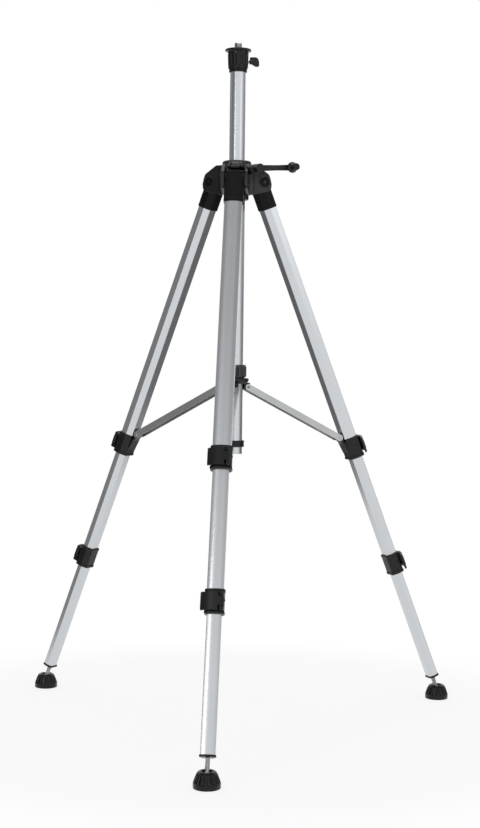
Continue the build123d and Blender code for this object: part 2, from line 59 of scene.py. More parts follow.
METRES = Matrix.Scale(0.001, 4)
UPRIGHT = Matrix(((0, 0, 1, 0), (1, 0, 0, 0), (0, 1, 0, 0), (0, 0, 0, 1)))
ACROSS = Matrix.Rotation(math.pi / 2, 4, "Y")

# Gaps in millimetres between parts that are pressed together, slipped on, and free to move
SEAT_GAP = 0.02
SLIP_GAP = 0.05
RUN_GAP = 0.3


class Slot(Enum):
    """Material slots that the record names."""

    TUBE = "anodised_tube"
    ARM = "arm_metal"
    CASTING = "black_casting"
    PLASTIC = "black_plastic"
    STEEL = "steel"
    RUBBER = "rubber"
    TRIM = "level_trim"
    GLASS = "vial_glass"


def move(x: float = 0.0, y: float = 0.0, z: float = 0.0) -> Matrix:
    """Return a shift in millimetres."""
    return Matrix.Translation((x, y, z))


def turn(degrees: float, axis: str) -> Matrix:
    """Return a turn about one of the main axes."""
    return Matrix.Rotation(math.radians(degrees), 4, axis)


def around(azimuth: float) -> Matrix:
    """Return the turn that brings +Y to an azimuth about the column."""
    return turn(azimuth - 90.0, "Z")


def rounded(outline: Sequence[Point], radius: float, steps: int = 4, least: float = 15.0) -> list[Point]:
    """Round the corners of a closed outline.

    Args:
        outline: Corner points in order.
        radius: Corner radius in millimetres.
        steps: Segments in each rounded corner.
        least: Smallest change of direction, in degrees, that counts as a corner.

    Returns:
        The points of the rounded outline.
    """
    result: list[Point] = []
    for index, corner in enumerate(outline):
        here = Vector(corner)
        back = Vector(outline[index - 1]) - here
        ahead = Vector(outline[(index + 1) % len(outline)]) - here
        change = math.pi - back.angle(ahead)
        if change < math.radians(least):
            result.append(corner)
            continue
        reach = min(radius * math.tan(change / 2), 0.45 * back.length, 0.45 * ahead.length)
        start = here + back.normalized() * reach
        end = here + ahead.normalized() * reach
        for step in range(steps + 1):
            share = step / steps
            mixed = start.lerp(here, share).lerp(here.lerp(end, share), share)
            result.append((mixed.x, mixed.y))
    return result


def arc_through(first: Point, middle: Point, last: Point, steps: int) -> list[Point]:
    """Return points on the arc that runs through three points.

    Args:
        first: Start of the arc.
        middle: A point on the arc.
        last: End of the arc.
        steps: Segments along the arc.

    Returns:
        The points from first to last.
    """
    (ax, ay), (bx, by), (cx, cy) = first, middle, last
    bend = 2 * (ax * (by - cy) + bx * (cy - ay) + cx * (ay - by))
    a2, b2, c2 = ax * ax + ay * ay, bx * bx + by * by, cx * cx + cy * cy
    ux = (a2 * (by - cy) + b2 * (cy - ay) + c2 * (ay - by)) / bend
    uy = (a2 * (cx - bx) + b2 * (ax - cx) + c2 * (bx - ax)) / bend
    radius = math.hypot(ax - ux, ay - uy)
    start = math.atan2(ay - uy, ax - ux)
    sweep = math.remainder(math.atan2(cy - uy, cx - ux) - start, math.tau)
    angles = [start + sweep * step / steps for step in range(steps + 1)]
    return [(ux + radius * math.cos(angle), uy + radius * math.sin(angle)) for angle in angles]


class Form:
    """A shell under construction, in millimetres, shaped with bmesh operators."""

    def __init__(self) -> None:
        """Start with an empty mesh."""
        self.bm = bmesh.new()

    @classmethod
    def lathe(cls, profile: Sequence[Point], steps: int = 64, closed: bool = False) -> "Form":
        """Spin a (radius, height) outline about Z.

        Args:
            profile: Points from one end to the other.
            steps: Segments round the axis.
            closed: Whether the last point joins the first, as for a ring.

        Returns:
            The turned form.
        """
        form = cls()
        verts = [form.bm.verts.new((radius, 0.0, height)) for radius, height in profile]
        pairs = list(zip(verts, verts[1:])) + ([(verts[-1], verts[0])] if closed else [])
        edges = [form.bm.edges.new(pair) for pair in pairs]
        bmesh.ops.spin(
            form.bm,
            geom=verts + edges,
            cent=(0, 0, 0),
            axis=(0, 0, 1),
            dvec=(0, 0, 0),
            angle=math.tau,
            steps=steps,
            use_merge=True,
        )
        return form.sealed()

    @classmethod
    def prism(cls, outline: Sequence[Point], low: float, high: float) -> "Form":
        """Extrude a flat (x, y) outline between two heights.

        Args:
            outline: Points of the outline in order.
            low: Lower height.
            high: Upper height.

        Returns:
            The extruded form.
        """
        form = cls()
        verts = [form.bm.verts.new((x, y, low)) for x, y in outline]
        face = form.bm.faces.new(verts)
        grown = bmesh.ops.extrude_face_region(form.bm, geom=[face])
        top = [item for item in grown["geom"] if isinstance(item, bmesh.types.BMVert)]
        bmesh.ops.translate(form.bm, verts=top, vec=(0, 0, high - low))
        return form.sealed()

    @classmethod
    def plate(cls, profile: Sequence[Point], low: float, high: float) -> "Form":
        """Extrude an (outward, up) profile sideways between two X places.

        Args:
            profile: Points as (outward, up).
            low: Lower X place.
            high: Upper X place.

        Returns:
            The upright plate.
        """
        return cls.prism(profile, low, high).moved(UPRIGHT)

    @classmethod
    def slab(cls, x: Point, y: Point, z: Point) -> "Form":
        """Make a block from its ranges along the axes.

        Args:
            x: Lowest and highest X.
            y: Lowest and highest Y.
            z: Lowest and highest Z.

        Returns:
            The block.
        """
        form = cls()
        middle = move((x[0] + x[1]) / 2, (y[0] + y[1]) / 2, (z[0] + z[1]) / 2)
        size = Matrix.Diagonal((x[1] - x[0], y[1] - y[0], z[1] - z[0], 1))
        bmesh.ops.create_cube(form.bm, size=1.0, matrix=middle @ size)
        return form

    @classmethod
    def loft(cls, loops: Sequence[Sequence[Vector]], closed: bool) -> "Form":
        """Bridge a run of outlines that have the same number of points.

        Args:
            loops: The outlines in order.
            closed: Whether the last outline joins the first; else both ends are capped.

        Returns:
            The bridged form.
        """
        form = cls()
        rings = []
        for loop in loops:
            verts = [form.bm.verts.new(point) for point in loop]
            rings.append([form.bm.edges.new((verts[i - 1], verts[i])) for i in range(len(verts))])
        pairs = list(zip(rings, rings[1:])) + ([(rings[-1], rings[0])] if closed else [])
        for first, second in pairs:
            bmesh.ops.bridge_loops(form.bm, edges=first + second)
        if not closed:
            for ring in (rings[0], rings[-1]):
                bmesh.ops.contextual_create(form.bm, geom=ring)
        return form.sealed()

    @classmethod
    def thread(cls, crest: float, root: float, pitch: float, low: float, high: float) -> "Form":
        """Screw a vee outline up the Z axis and trim it flat at both ends.

        Args:
            crest: Outer radius of the thread.
            root: Radius at the bottom of the vee.
            pitch: Rise of one turn.
            low: Lower end.
            high: Upper end.

        Returns:
            The threaded rod.
        """
        form = cls()
        steps = 28
        start = low - pitch
        turns = math.ceil((high - low) / pitch) + 2
        outline = [(root, 0.0), (crest, 0.42), (crest, 0.58), (root, 1.0)]
        verts = [form.bm.verts.new((radius, 0.0, start + share * pitch)) for radius, share in outline]
        edges = [form.bm.edges.new(pair) for pair in zip(verts, verts[1:])]
        bmesh.ops.spin(
            form.bm,
            geom=verts + edges,
            cent=(0, 0, 0),
            axis=(0, 0, 1),
            dvec=(0, 0, pitch / steps),
            angle=math.tau * turns,
            steps=steps * turns,
            use_merge=False,
        )
        bmesh.ops.remove_doubles(form.bm, verts=form.bm.verts, dist=0.01)
        for level, facing in ((low, -1.0), (high, 1.0)):
            everything = form.bm.verts[:] + form.bm.edges[:] + form.bm.faces[:]
            bmesh.ops.bisect_plane(
                form.bm, geom=everything, plane_co=(0, 0, level), plane_no=(0, 0, facing), clear_outer=True
            )
        bmesh.ops.edgeloop_fill(form.bm, edges=[edge for edge in form.bm.edges if edge.is_boundary])
        return form.sealed()

    def sealed(self) -> "Form":
        """Merge doubled vertices and turn the faces outwards.

        Returns:
            This form.
        """
        bmesh.ops.remove_doubles(self.bm, verts=self.bm.verts, dist=0.001)
        bmesh.ops.recalc_face_normals(self.bm, faces=self.bm.faces)
        return self

    def moved(self, place: Matrix) -> "Form":
        """Move every vertex by a matrix and return the form."""
        bmesh.ops.transform(self.bm, matrix=place, verts=self.bm.verts)
        return self

    def join(self, other: "Form", place: Optional[Matrix] = None) -> "Form":
        """Add a copy of another form.

        Args:
            other: The form to add.
            place: Where it goes, or None to leave it where it is.

        Returns:
            This form.
        """
        mesh = bpy.data.meshes.new("copy")
        other.bm.to_mesh(mesh)
        if place is not None:
            mesh.transform(place)
        self.bm.from_mesh(mesh)
        bpy.data.meshes.remove(mesh)
        return self

    def soften(
        self,
        width: float,
        segments: int = 2,
        least: float = 30.0,
        chosen: Optional[Callable[[Vector], bool]] = None,
    ) -> "Form":
        """Bevel the sharp edges.

        Args:
            width: Width of the bevel.
            segments: Segments across it.
            least: Smallest angle between faces, in degrees, that is bevelled.
            chosen: Test of an edge's middle point, or None for every sharp edge.

        Returns:
            This form.
        """
        limit = math.radians(least)
        edges = []
        for edge in self.bm.edges:
            middle = (edge.verts[0].co + edge.verts[1].co) / 2
            if edge.calc_face_angle(0.0) > limit and (chosen is None or chosen(middle)):
                edges.append(edge)
        bmesh.ops.bevel(
            self.bm,
            geom=edges,
            offset=width,
            offset_type="OFFSET",
            segments=segments,
            profile=0.5,
            affect="EDGES",
            clamp_overlap=True,
            material=-1,
        )
        return self

    def flute(
        self, count: int, depth: float, low: float, high: float, beyond: float, share: float = 0.5
    ) -> "Form":
        """Press upright grooves into the outer wall of a turned form.

        Args:
            count: Grooves round the form.
            depth: Depth of each groove.
            low: Lowest height that is pressed.
            high: Highest height that is pressed.
            beyond: Radius beyond which the outer wall lies.
            share: Part of each step that the groove takes.

        Returns:
            This form.
        """
        for vert in self.bm.verts:
            reach = vert.co.xy.length
            if low <= vert.co.z <= high and reach > beyond:
                phase = math.atan2(vert.co.y, vert.co.x) / math.tau * count % 1.0
                across = abs(phase - 0.5) / (share / 2)
                press = depth * max(0.0, 1.0 - across * across)
                vert.co.xy *= 1.0 - press / reach
        return self

    def sink(self, facing: Vector, margin: float, depth: float) -> "Form":
        """Inset the largest face that looks one way, and press it in.

        Args:
            facing: Direction that the face looks in.
            margin: Width of the rim that stays.
            depth: Depth of the recess.

        Returns:
            This form.
        """
        faces = [face for face in self.bm.faces if face.normal.dot(facing) > 0.98]
        face = max(faces, key=lambda item: item.calc_area())
        bmesh.ops.inset_region(
            self.bm, faces=[face], thickness=margin, depth=-depth, use_even_offset=True, use_boundary=True
        )
        return self


def add_noise(
    tree: bpy.types.NodeTree, vector: bpy.types.NodeSocket, scale: float, detail: float = 2.0
) -> bpy.types.NodeSocket:
    """Add a noise texture.

    Args:
        tree: Nodes to add it to.
        vector: Coordinates that it reads.
        scale: Scale of the noise.
        detail: Octaves of finer noise.

    Returns:
        The noise's value.
    """
    noise = tree.nodes.new("ShaderNodeTexNoise")
    noise.inputs["Scale"].default_value = scale
    noise.inputs["Detail"].default_value = detail
    tree.links.new(vector, noise.inputs["Vector"])
    return noise.outputs["Fac"]


def add_range(
    tree: bpy.types.NodeTree,
    value: bpy.types.NodeSocket,
    source: Point,
    target: Point,
    eased: bool = False,
) -> bpy.types.NodeSocket:
    """Add a node that maps one range of a value to another.

    Args:
        tree: Nodes to add it to.
        value: The value that is mapped.
        source: Range of the value.
        target: Range of the result.
        eased: Whether the result starts and ends gently.

    Returns:
        The mapped value.
    """
    mapped = tree.nodes.new("ShaderNodeMapRange")
    if eased:
        mapped.interpolation_type = "SMOOTHSTEP"
    for name, number in zip(("From Min", "From Max", "To Min", "To Max"), (*source, *target)):
        mapped.inputs[name].default_value = number
    tree.links.new(value, mapped.inputs["Value"])
    return mapped.outputs["Result"]


@dataclass(frozen=True)
class Finish:
    """A surface finish, made into one node material.

    Colours are linear. Sizes are in millimetres, along the finish's own axes.
    """

    name: str
    colour: Colour
    shade: Colour
    roughness: Point
    metallic: float = 0.0
    specular: float = 0.5
    grain: Triple = (0.5, 0.5, 0.5)
    relief: float = 0.01
    mottle: float = 40.0
    dust: Colour = (0.1, 0.1, 0.1)
    dust_share: float = 0.0
    lean: Triple = (0.0, 0.0, 0.0)
    coat: float = 0.0
    coat_roughness: float = 0.12
    dust_range: Point = (0.45, 0.8)
    gloss_range: Point = (0.3, 0.7)
    relief_strength: float = 0.6

    def material(self) -> bpy.types.Material:
        """Build the node material.

        Returns:
            The material, with grain, broad mottling, roughness and relief.
        """
        made = bpy.data.materials.new(self.name)
        made.use_nodes = True
        tree = made.node_tree
        shader = tree.nodes["Principled BSDF"]
        shader.inputs["Metallic"].default_value = self.metallic
        shader.inputs["Specular IOR Level"].default_value = self.specular
        shader.inputs["Coat Weight"].default_value = self.coat
        shader.inputs["Coat Roughness"].default_value = self.coat_roughness
        coords = tree.nodes.new("ShaderNodeTexCoord")
        axes = tree.nodes.new("ShaderNodeMapping")
        axes.vector_type = "TEXTURE"
        axes.inputs["Rotation"].default_value = self.lean
        axes.inputs["Scale"].default_value = [size * 0.001 for size in self.grain]
        tree.links.new(coords.outputs["Object"], axes.inputs["Vector"])
        grain = add_noise(tree, axes.outputs["Vector"], 1.0, 3.0)
        mottle = add_noise(tree, coords.outputs["Object"], 1000.0 / self.mottle, 4.0)
        tree.links.new(self.add_colour(tree, grain, mottle), shader.inputs["Base Color"])
        gloss = add_range(tree, mottle, self.gloss_range, self.roughness)
        tree.links.new(gloss, shader.inputs["Roughness"])
        relief = tree.nodes.new("ShaderNodeBump")
        relief.inputs["Strength"].default_value = self.relief_strength
        relief.inputs["Distance"].default_value = self.relief * 0.001
        tree.links.new(grain, relief.inputs["Height"])
        tree.links.new(relief.outputs["Normal"], shader.inputs["Normal"])
        return made

    def add_colour(
        self, tree: bpy.types.NodeTree, grain: bpy.types.NodeSocket, mottle: bpy.types.NodeSocket
    ) -> bpy.types.NodeSocket:
        """Add the two tones that the grain mixes, and the dust that the mottling lays on them.

        Args:
            tree: The material's nodes.
            grain: Value of the fine grain.
            mottle: Value of the broad mottling.

        Returns:
            The colour.
        """
        tone = tree.nodes.new("ShaderNodeMix")
        tone.data_type = "RGBA"
        tone.inputs["A"].default_value = (*self.colour, 1.0)
        tone.inputs["B"].default_value = (*self.shade, 1.0)
        tree.links.new(grain, tone.inputs["Factor"])
        marks = add_range(tree, mottle, self.dust_range, (0.0, self.dust_share))
        dusted = tree.nodes.new("ShaderNodeMix")
        dusted.data_type = "RGBA"
        dusted.inputs["B"].default_value = (*self.dust, 1.0)
        tree.links.new(marks, dusted.inputs["Factor"])
        tree.links.new(tone.outputs["Result"], dusted.inputs["A"])
        return dusted.outputs["Result"]


@dataclass(frozen=True)
class ClearFinish:
    """Clear acrylic, faintly tinted and clouded by handling."""

    name: str = "clear_acrylic"
    tint: Colour = (0.93, 0.97, 0.9)
    roughness: Point = (0.02, 0.08)
    refraction: float = 1.49
    cloud_scale: float = 120.0

    def material(self) -> bpy.types.Material:
        """Build the clear material.

        Returns:
            The material.
        """
        made = bpy.data.materials.new(self.name)
        made.use_nodes = True
        tree = made.node_tree
        shader = tree.nodes["Principled BSDF"]
        shader.inputs["Base Color"].default_value = (*self.tint, 1.0)
        shader.inputs["Transmission Weight"].default_value = 1.0
        shader.inputs["IOR"].default_value = self.refraction
        coords = tree.nodes.new("ShaderNodeTexCoord")
        cloud = add_noise(tree, coords.outputs["Object"], self.cloud_scale)
        gloss = add_range(tree, cloud, (0.0, 1.0), self.roughness)
        tree.links.new(gloss, shader.inputs["Roughness"])
        return made


AnyFinish = Finish | ClearFinish


@dataclass(frozen=True)
class Finishes:
    """Every finish on the tripod."""

    casting: Finish = Finish(
        name="powder_coated_casting",
        colour=(0.0035, 0.0035, 0.0038),
        shade=(0.006, 0.006, 0.0063),
        roughness=(0.32, 0.42),
        specular=0.48,
        grain=(0.7, 0.7, 0.7),
        relief=0.04,
        dust=(0.018, 0.018, 0.018),
        dust_share=0.2,
    )
    plastic: Finish = Finish(
        name="grained_black_plastic",
        colour=(0.0032, 0.0033, 0.0036),
        shade=(0.0055, 0.0057, 0.0062),
        roughness=(0.28, 0.38),
        specular=0.34,
        grain=(0.35, 0.35, 0.35),
        relief=0.02,
        dust=(0.017, 0.0175, 0.0185),
        dust_share=0.2,
    )
    bracket: Finish = Finish(
        name="deep_black_plastic",
        colour=(0.0024, 0.0025, 0.0027),
        shade=(0.0042, 0.0043, 0.0047),
        roughness=(0.34, 0.46),
        specular=0.16,
        grain=(0.45, 0.45, 0.45),
        relief=0.02,
        dust=(0.012, 0.0125, 0.013),
        dust_share=0.2,
    )
    moulding: Finish = Finish(
        name="satin_black_moulding",
        colour=(0.0016, 0.0017, 0.002),
        shade=(0.0032, 0.0033, 0.0037),
        roughness=(0.1, 0.16),
        specular=0.32,
        grain=(0.4, 0.4, 0.4),
        relief=0.008,
        dust=(0.016, 0.0165, 0.0175),
        dust_share=0.15,
    )
    rubber: Finish = Finish(
        name="black_rubber",
        colour=(0.0022, 0.0022, 0.0023),
        shade=(0.0045, 0.0044, 0.0043),
        roughness=(0.16, 0.24),
        specular=0.3,
        grain=(0.9, 0.9, 0.9),
        relief=0.06,
        mottle=18.0,
        dust=(0.024, 0.0225, 0.021),
        dust_share=0.3,
    )
    steel: Finish = Finish(
        name="bright_steel",
        colour=(0.66, 0.65, 0.63),
        shade=(0.5, 0.49, 0.475),
        roughness=(0.2, 0.34),
        metallic=1.0,
        grain=(0.4, 0.4, 0.4),
        relief=0.004,
        mottle=9.0,
        dust=(0.3, 0.28, 0.25),
        dust_share=0.25,
    )
    trim: Finish = Finish(
        name="gloss_black_trim",
        colour=(0.01, 0.01, 0.011),
        shade=(0.014, 0.014, 0.015),
        roughness=(0.14, 0.24),
        specular=0.5,
        grain=(0.6, 0.6, 0.6),
        relief=0.004,
        dust=(0.03, 0.03, 0.03),
        dust_share=0.15,
        coat=0.3,
    )
    fluid: Finish = Finish(
        name="pale_green_fluid",
        colour=(0.42, 0.58, 0.12),
        shade=(0.5, 0.64, 0.16),
        roughness=(0.18, 0.26),
        grain=(4.0, 4.0, 4.0),
        relief=0.002,
        mottle=14.0,
    )
    air: Finish = Finish(
        name="pale_bubble",
        colour=(0.78, 0.84, 0.55),
        shade=(0.84, 0.88, 0.64),
        roughness=(0.1, 0.16),
        grain=(3.0, 3.0, 3.0),
        relief=0.001,
        mottle=6.0,
    )
    clear: ClearFinish = ClearFinish()

    def tube(self, name: str, place: Matrix) -> Finish:
        """Choose satin anodised metal with drawing lines along a place's Z axis.

        Args:
            name: What the tube is.
            place: The tube's own place.

        Returns:
            The finish.
        """
        return Finish(
            name="anodised_" + name,
            colour=(0.64, 0.66, 0.685),
            shade=(0.605, 0.625, 0.65),
            roughness=(0.25, 0.29),
            metallic=1.0,
            grain=(2.2, 2.2, 260.0),
            relief=0.0008,
            mottle=140.0,
            dust=(0.48, 0.49, 0.5),
            dust_share=0.12,
            lean=tuple(place.to_euler()),
        )

    def strip(self, name: str, place: Matrix) -> Finish:
        """Choose pressed strip metal with rolling lines along a place's Y axis.

        Args:
            name: What the strip is.
            place: The strip's own place.

        Returns:
            The finish.
        """
        return Finish(
            name="pressed_" + name,
            colour=(0.55, 0.555, 0.56),
            shade=(0.46, 0.465, 0.47),
            roughness=(0.32, 0.44),
            metallic=1.0,
            grain=(0.8, 45.0, 0.8),
            relief=0.002,
            mottle=60.0,
            dust=(0.42, 0.42, 0.42),
            dust_share=0.2,
            lean=tuple(place.to_euler()),
        )


@dataclass
class Bench:
    """Where finished forms become pieces on the frame."""

    nodes: dict[str, bpy.types.Object]
    finishes: Finishes
    crease: float = 38.0
    made: dict[str, bpy.types.Material] = field(default_factory=dict)

    def material(self, finish: AnyFinish) -> bpy.types.Material:
        """Look up a finish's material, built the first time it is asked for.

        Args:
            finish: The finish.

        Returns:
            The material.
        """
        if finish.name not in self.made:
            self.made[finish.name] = finish.material()
        return self.made[finish.name]

    def piece(
        self,
        form: Form,
        name: str,
        body: str,
        slot: Slot,
        finish: AnyFinish,
        nodes: Sequence[str] = (),
    ) -> bpy.types.Object:
        """Turn a form into a piece that rides on a body.

        Args:
            form: The form, in place, in millimetres.
            name: Name of the piece.
            body: Body that it rides on.
            slot: The material slot for its finish; not used.
            finish: Its finish.
            nodes: Solids that it stands for.

        Returns:
            The piece.
        """
        mesh = bpy.data.meshes.new(name)
        form.moved(METRES)
        form.bm.to_mesh(mesh)
        form.bm.free()
        mesh.shade_smooth()
        mesh.set_sharp_from_angle(angle=math.radians(self.crease))
        mesh.materials.append(self.material(finish))
        piece = bpy.data.objects.new(name, mesh)
        bpy.context.scene.collection.objects.link(piece)
        shading = piece.modifiers.new("even_shading", "WEIGHTED_NORMAL")
        shading.keep_sharp = True
        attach(piece, body)
        if nodes:
            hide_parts(*nodes)
        LOG.info("%s rides on %s", name, body)
        return piece

    def dress(self, node: str, finish: AnyFinish) -> None:
        """Give a solid that stays in view its finish.

        Args:
            node: Name of the solid.
            finish: Its finish.
        """
        material = self.material(finish)
        materials = self.nodes[node].data.materials
        if not materials:
            materials.append(material)
        for index in range(len(materials)):
            materials[index] = material
        LOG.info("%s keeps its solid", node)


@dataclass(frozen=True)
class LegSection:
    """Outline of the drawn leg tube: flat inside, oblique faces, flat sides, bowed outside."""

    width: float = 36.0
    inner_flat: float = 22.0
    depth: float = 15.0
    oblique_rise: float = 12.1
    shoulder: float = 10.5
    corner: float = 1.4
    notch: float = 8.0
    bow_steps: int = 12

    def outline(self, growth: float) -> list[Point]:
        """Return the outline grown evenly.

        Args:
            growth: How far every face moves outwards.

        Returns:
            The outline's points.
        """
        half = self.width / 2
        flat = self.inner_flat / 2
        slope = math.atan2(self.oblique_rise, half - flat)
        low = -self.depth - growth
        wide = half + growth
        flat += growth * math.tan(slope / 2)
        knee = self.oblique_rise - self.depth - growth * math.tan((math.pi / 2 - slope) / 2)
        rise = self.depth - self.shoulder
        radius = (half * half + rise * rise) / (2 * rise) + growth
        centre = self.depth + growth - radius
        reach = math.asin(wide / radius)
        bow = []
        for step in range(self.bow_steps + 1):
            angle = reach * (1 - 2 * step / self.bow_steps)
            bow.append((radius * math.sin(angle), centre + radius * math.cos(angle)))
        notch = min(self.notch, flat - 0.6)
        lower = [(-flat, low), (-notch, low), (notch, low), (flat, low)]
        return rounded(lower + [(wide, knee)] + bow + [(-wide, knee)], self.corner + max(growth, 0.0) / 2)

    def sleeve(self, stations: Sequence[Point], closed: bool = True) -> Form:
        """Build a sleeve from (distance down the leg, growth) stations.

        Args:
            stations: Stations in order round the wall.
            closed: Whether the wall joins up; else the ends are capped.

        Returns:
            The sleeve, in the leg's own frame.
        """
        loops = []
        for down, growth in stations:
            loops.append([Vector((x, y, -down)) for x, y in self.outline(growth)])
        return Form.loft(loops, closed)


def dome_head(radius: float, rise: float, base: float, steps: int = 32) -> Form:
    """Make a domed rivet or cap head that stands on a base height.

    Args:
        radius: Radius at the base.
        rise: Height of the dome.
        base: Height where it starts.
        steps: Segments round it.

    Returns:
        The head, along Z.
    """
    angles = [math.radians(angle) for angle in range(0, 91, 15)]
    curve = [(radius * math.cos(angle), base + rise * (0.25 + 0.75 * math.sin(angle))) for angle in angles]
    root = [(0, base - rise), (radius, base - rise)]
    return Form.lathe(root + curve[:-1] + [(0, curve[-1][1])], steps)


def rivet_ring(radius: float, base: float) -> Form:
    """Make the rolled end of a tubular rivet.

    Args:
        radius: Radius of the rolled edge.
        base: Height of the face it lies on.

    Returns:
        The rolled end, along Z.
    """
    hole = radius * 0.5
    roll = arc_through((radius, base + 0.3), (radius * 0.8, base + 1.1), (hole, base + 0.5), 7)
    return Form.lathe([(hole, base - 1.0), (radius, base - 1.0)] + roll, 36, True)


def rivet_hole_painted_shade(radius: float, base: float) -> Form:
    """Make a black plug for a tubular rivet's hole: painted shade that darkens the hole.

    Args:
        radius: Radius of the rolled edge.
        base: Height of the face it lies on.

    Returns:
        The painted shade plug, along Z.
    """
    # the black plug stands in for the shade deep in the rivet's hole: painted shade
    hole = radius * 0.5
    return Form.lathe([(0, base - 0.9), (hole, base - 0.9), (hole, base + 0.1), (0, base - 0.3)], 24)


def socket_head(radius: float, rise: float, base: float) -> Form:
    """Make a round screw head with a six-sided socket.

    Args:
        radius: Radius of the head.
        rise: Height of the head.
        base: Height where it starts.

    Returns:
        The head, along Z.
    """
    form = Form()
    bmesh.ops.create_circle(form.bm, cap_ends=True, segments=24, radius=radius, matrix=move(z=base))
    face = form.bm.faces[:]
    grown = bmesh.ops.extrude_face_region(form.bm, geom=face)
    top = [item for item in grown["geom"] if isinstance(item, bmesh.types.BMVert)]
    bmesh.ops.translate(form.bm, verts=top, vec=(0, 0, rise))
    form.sealed().soften(rise * 0.25, 2, 40.0)
    form.sink(Vector((0, 0, 1)), radius * 0.42, 0.0)
    return form.sink(Vector((0, 0, 1)), 0.02, rise * 0.6)


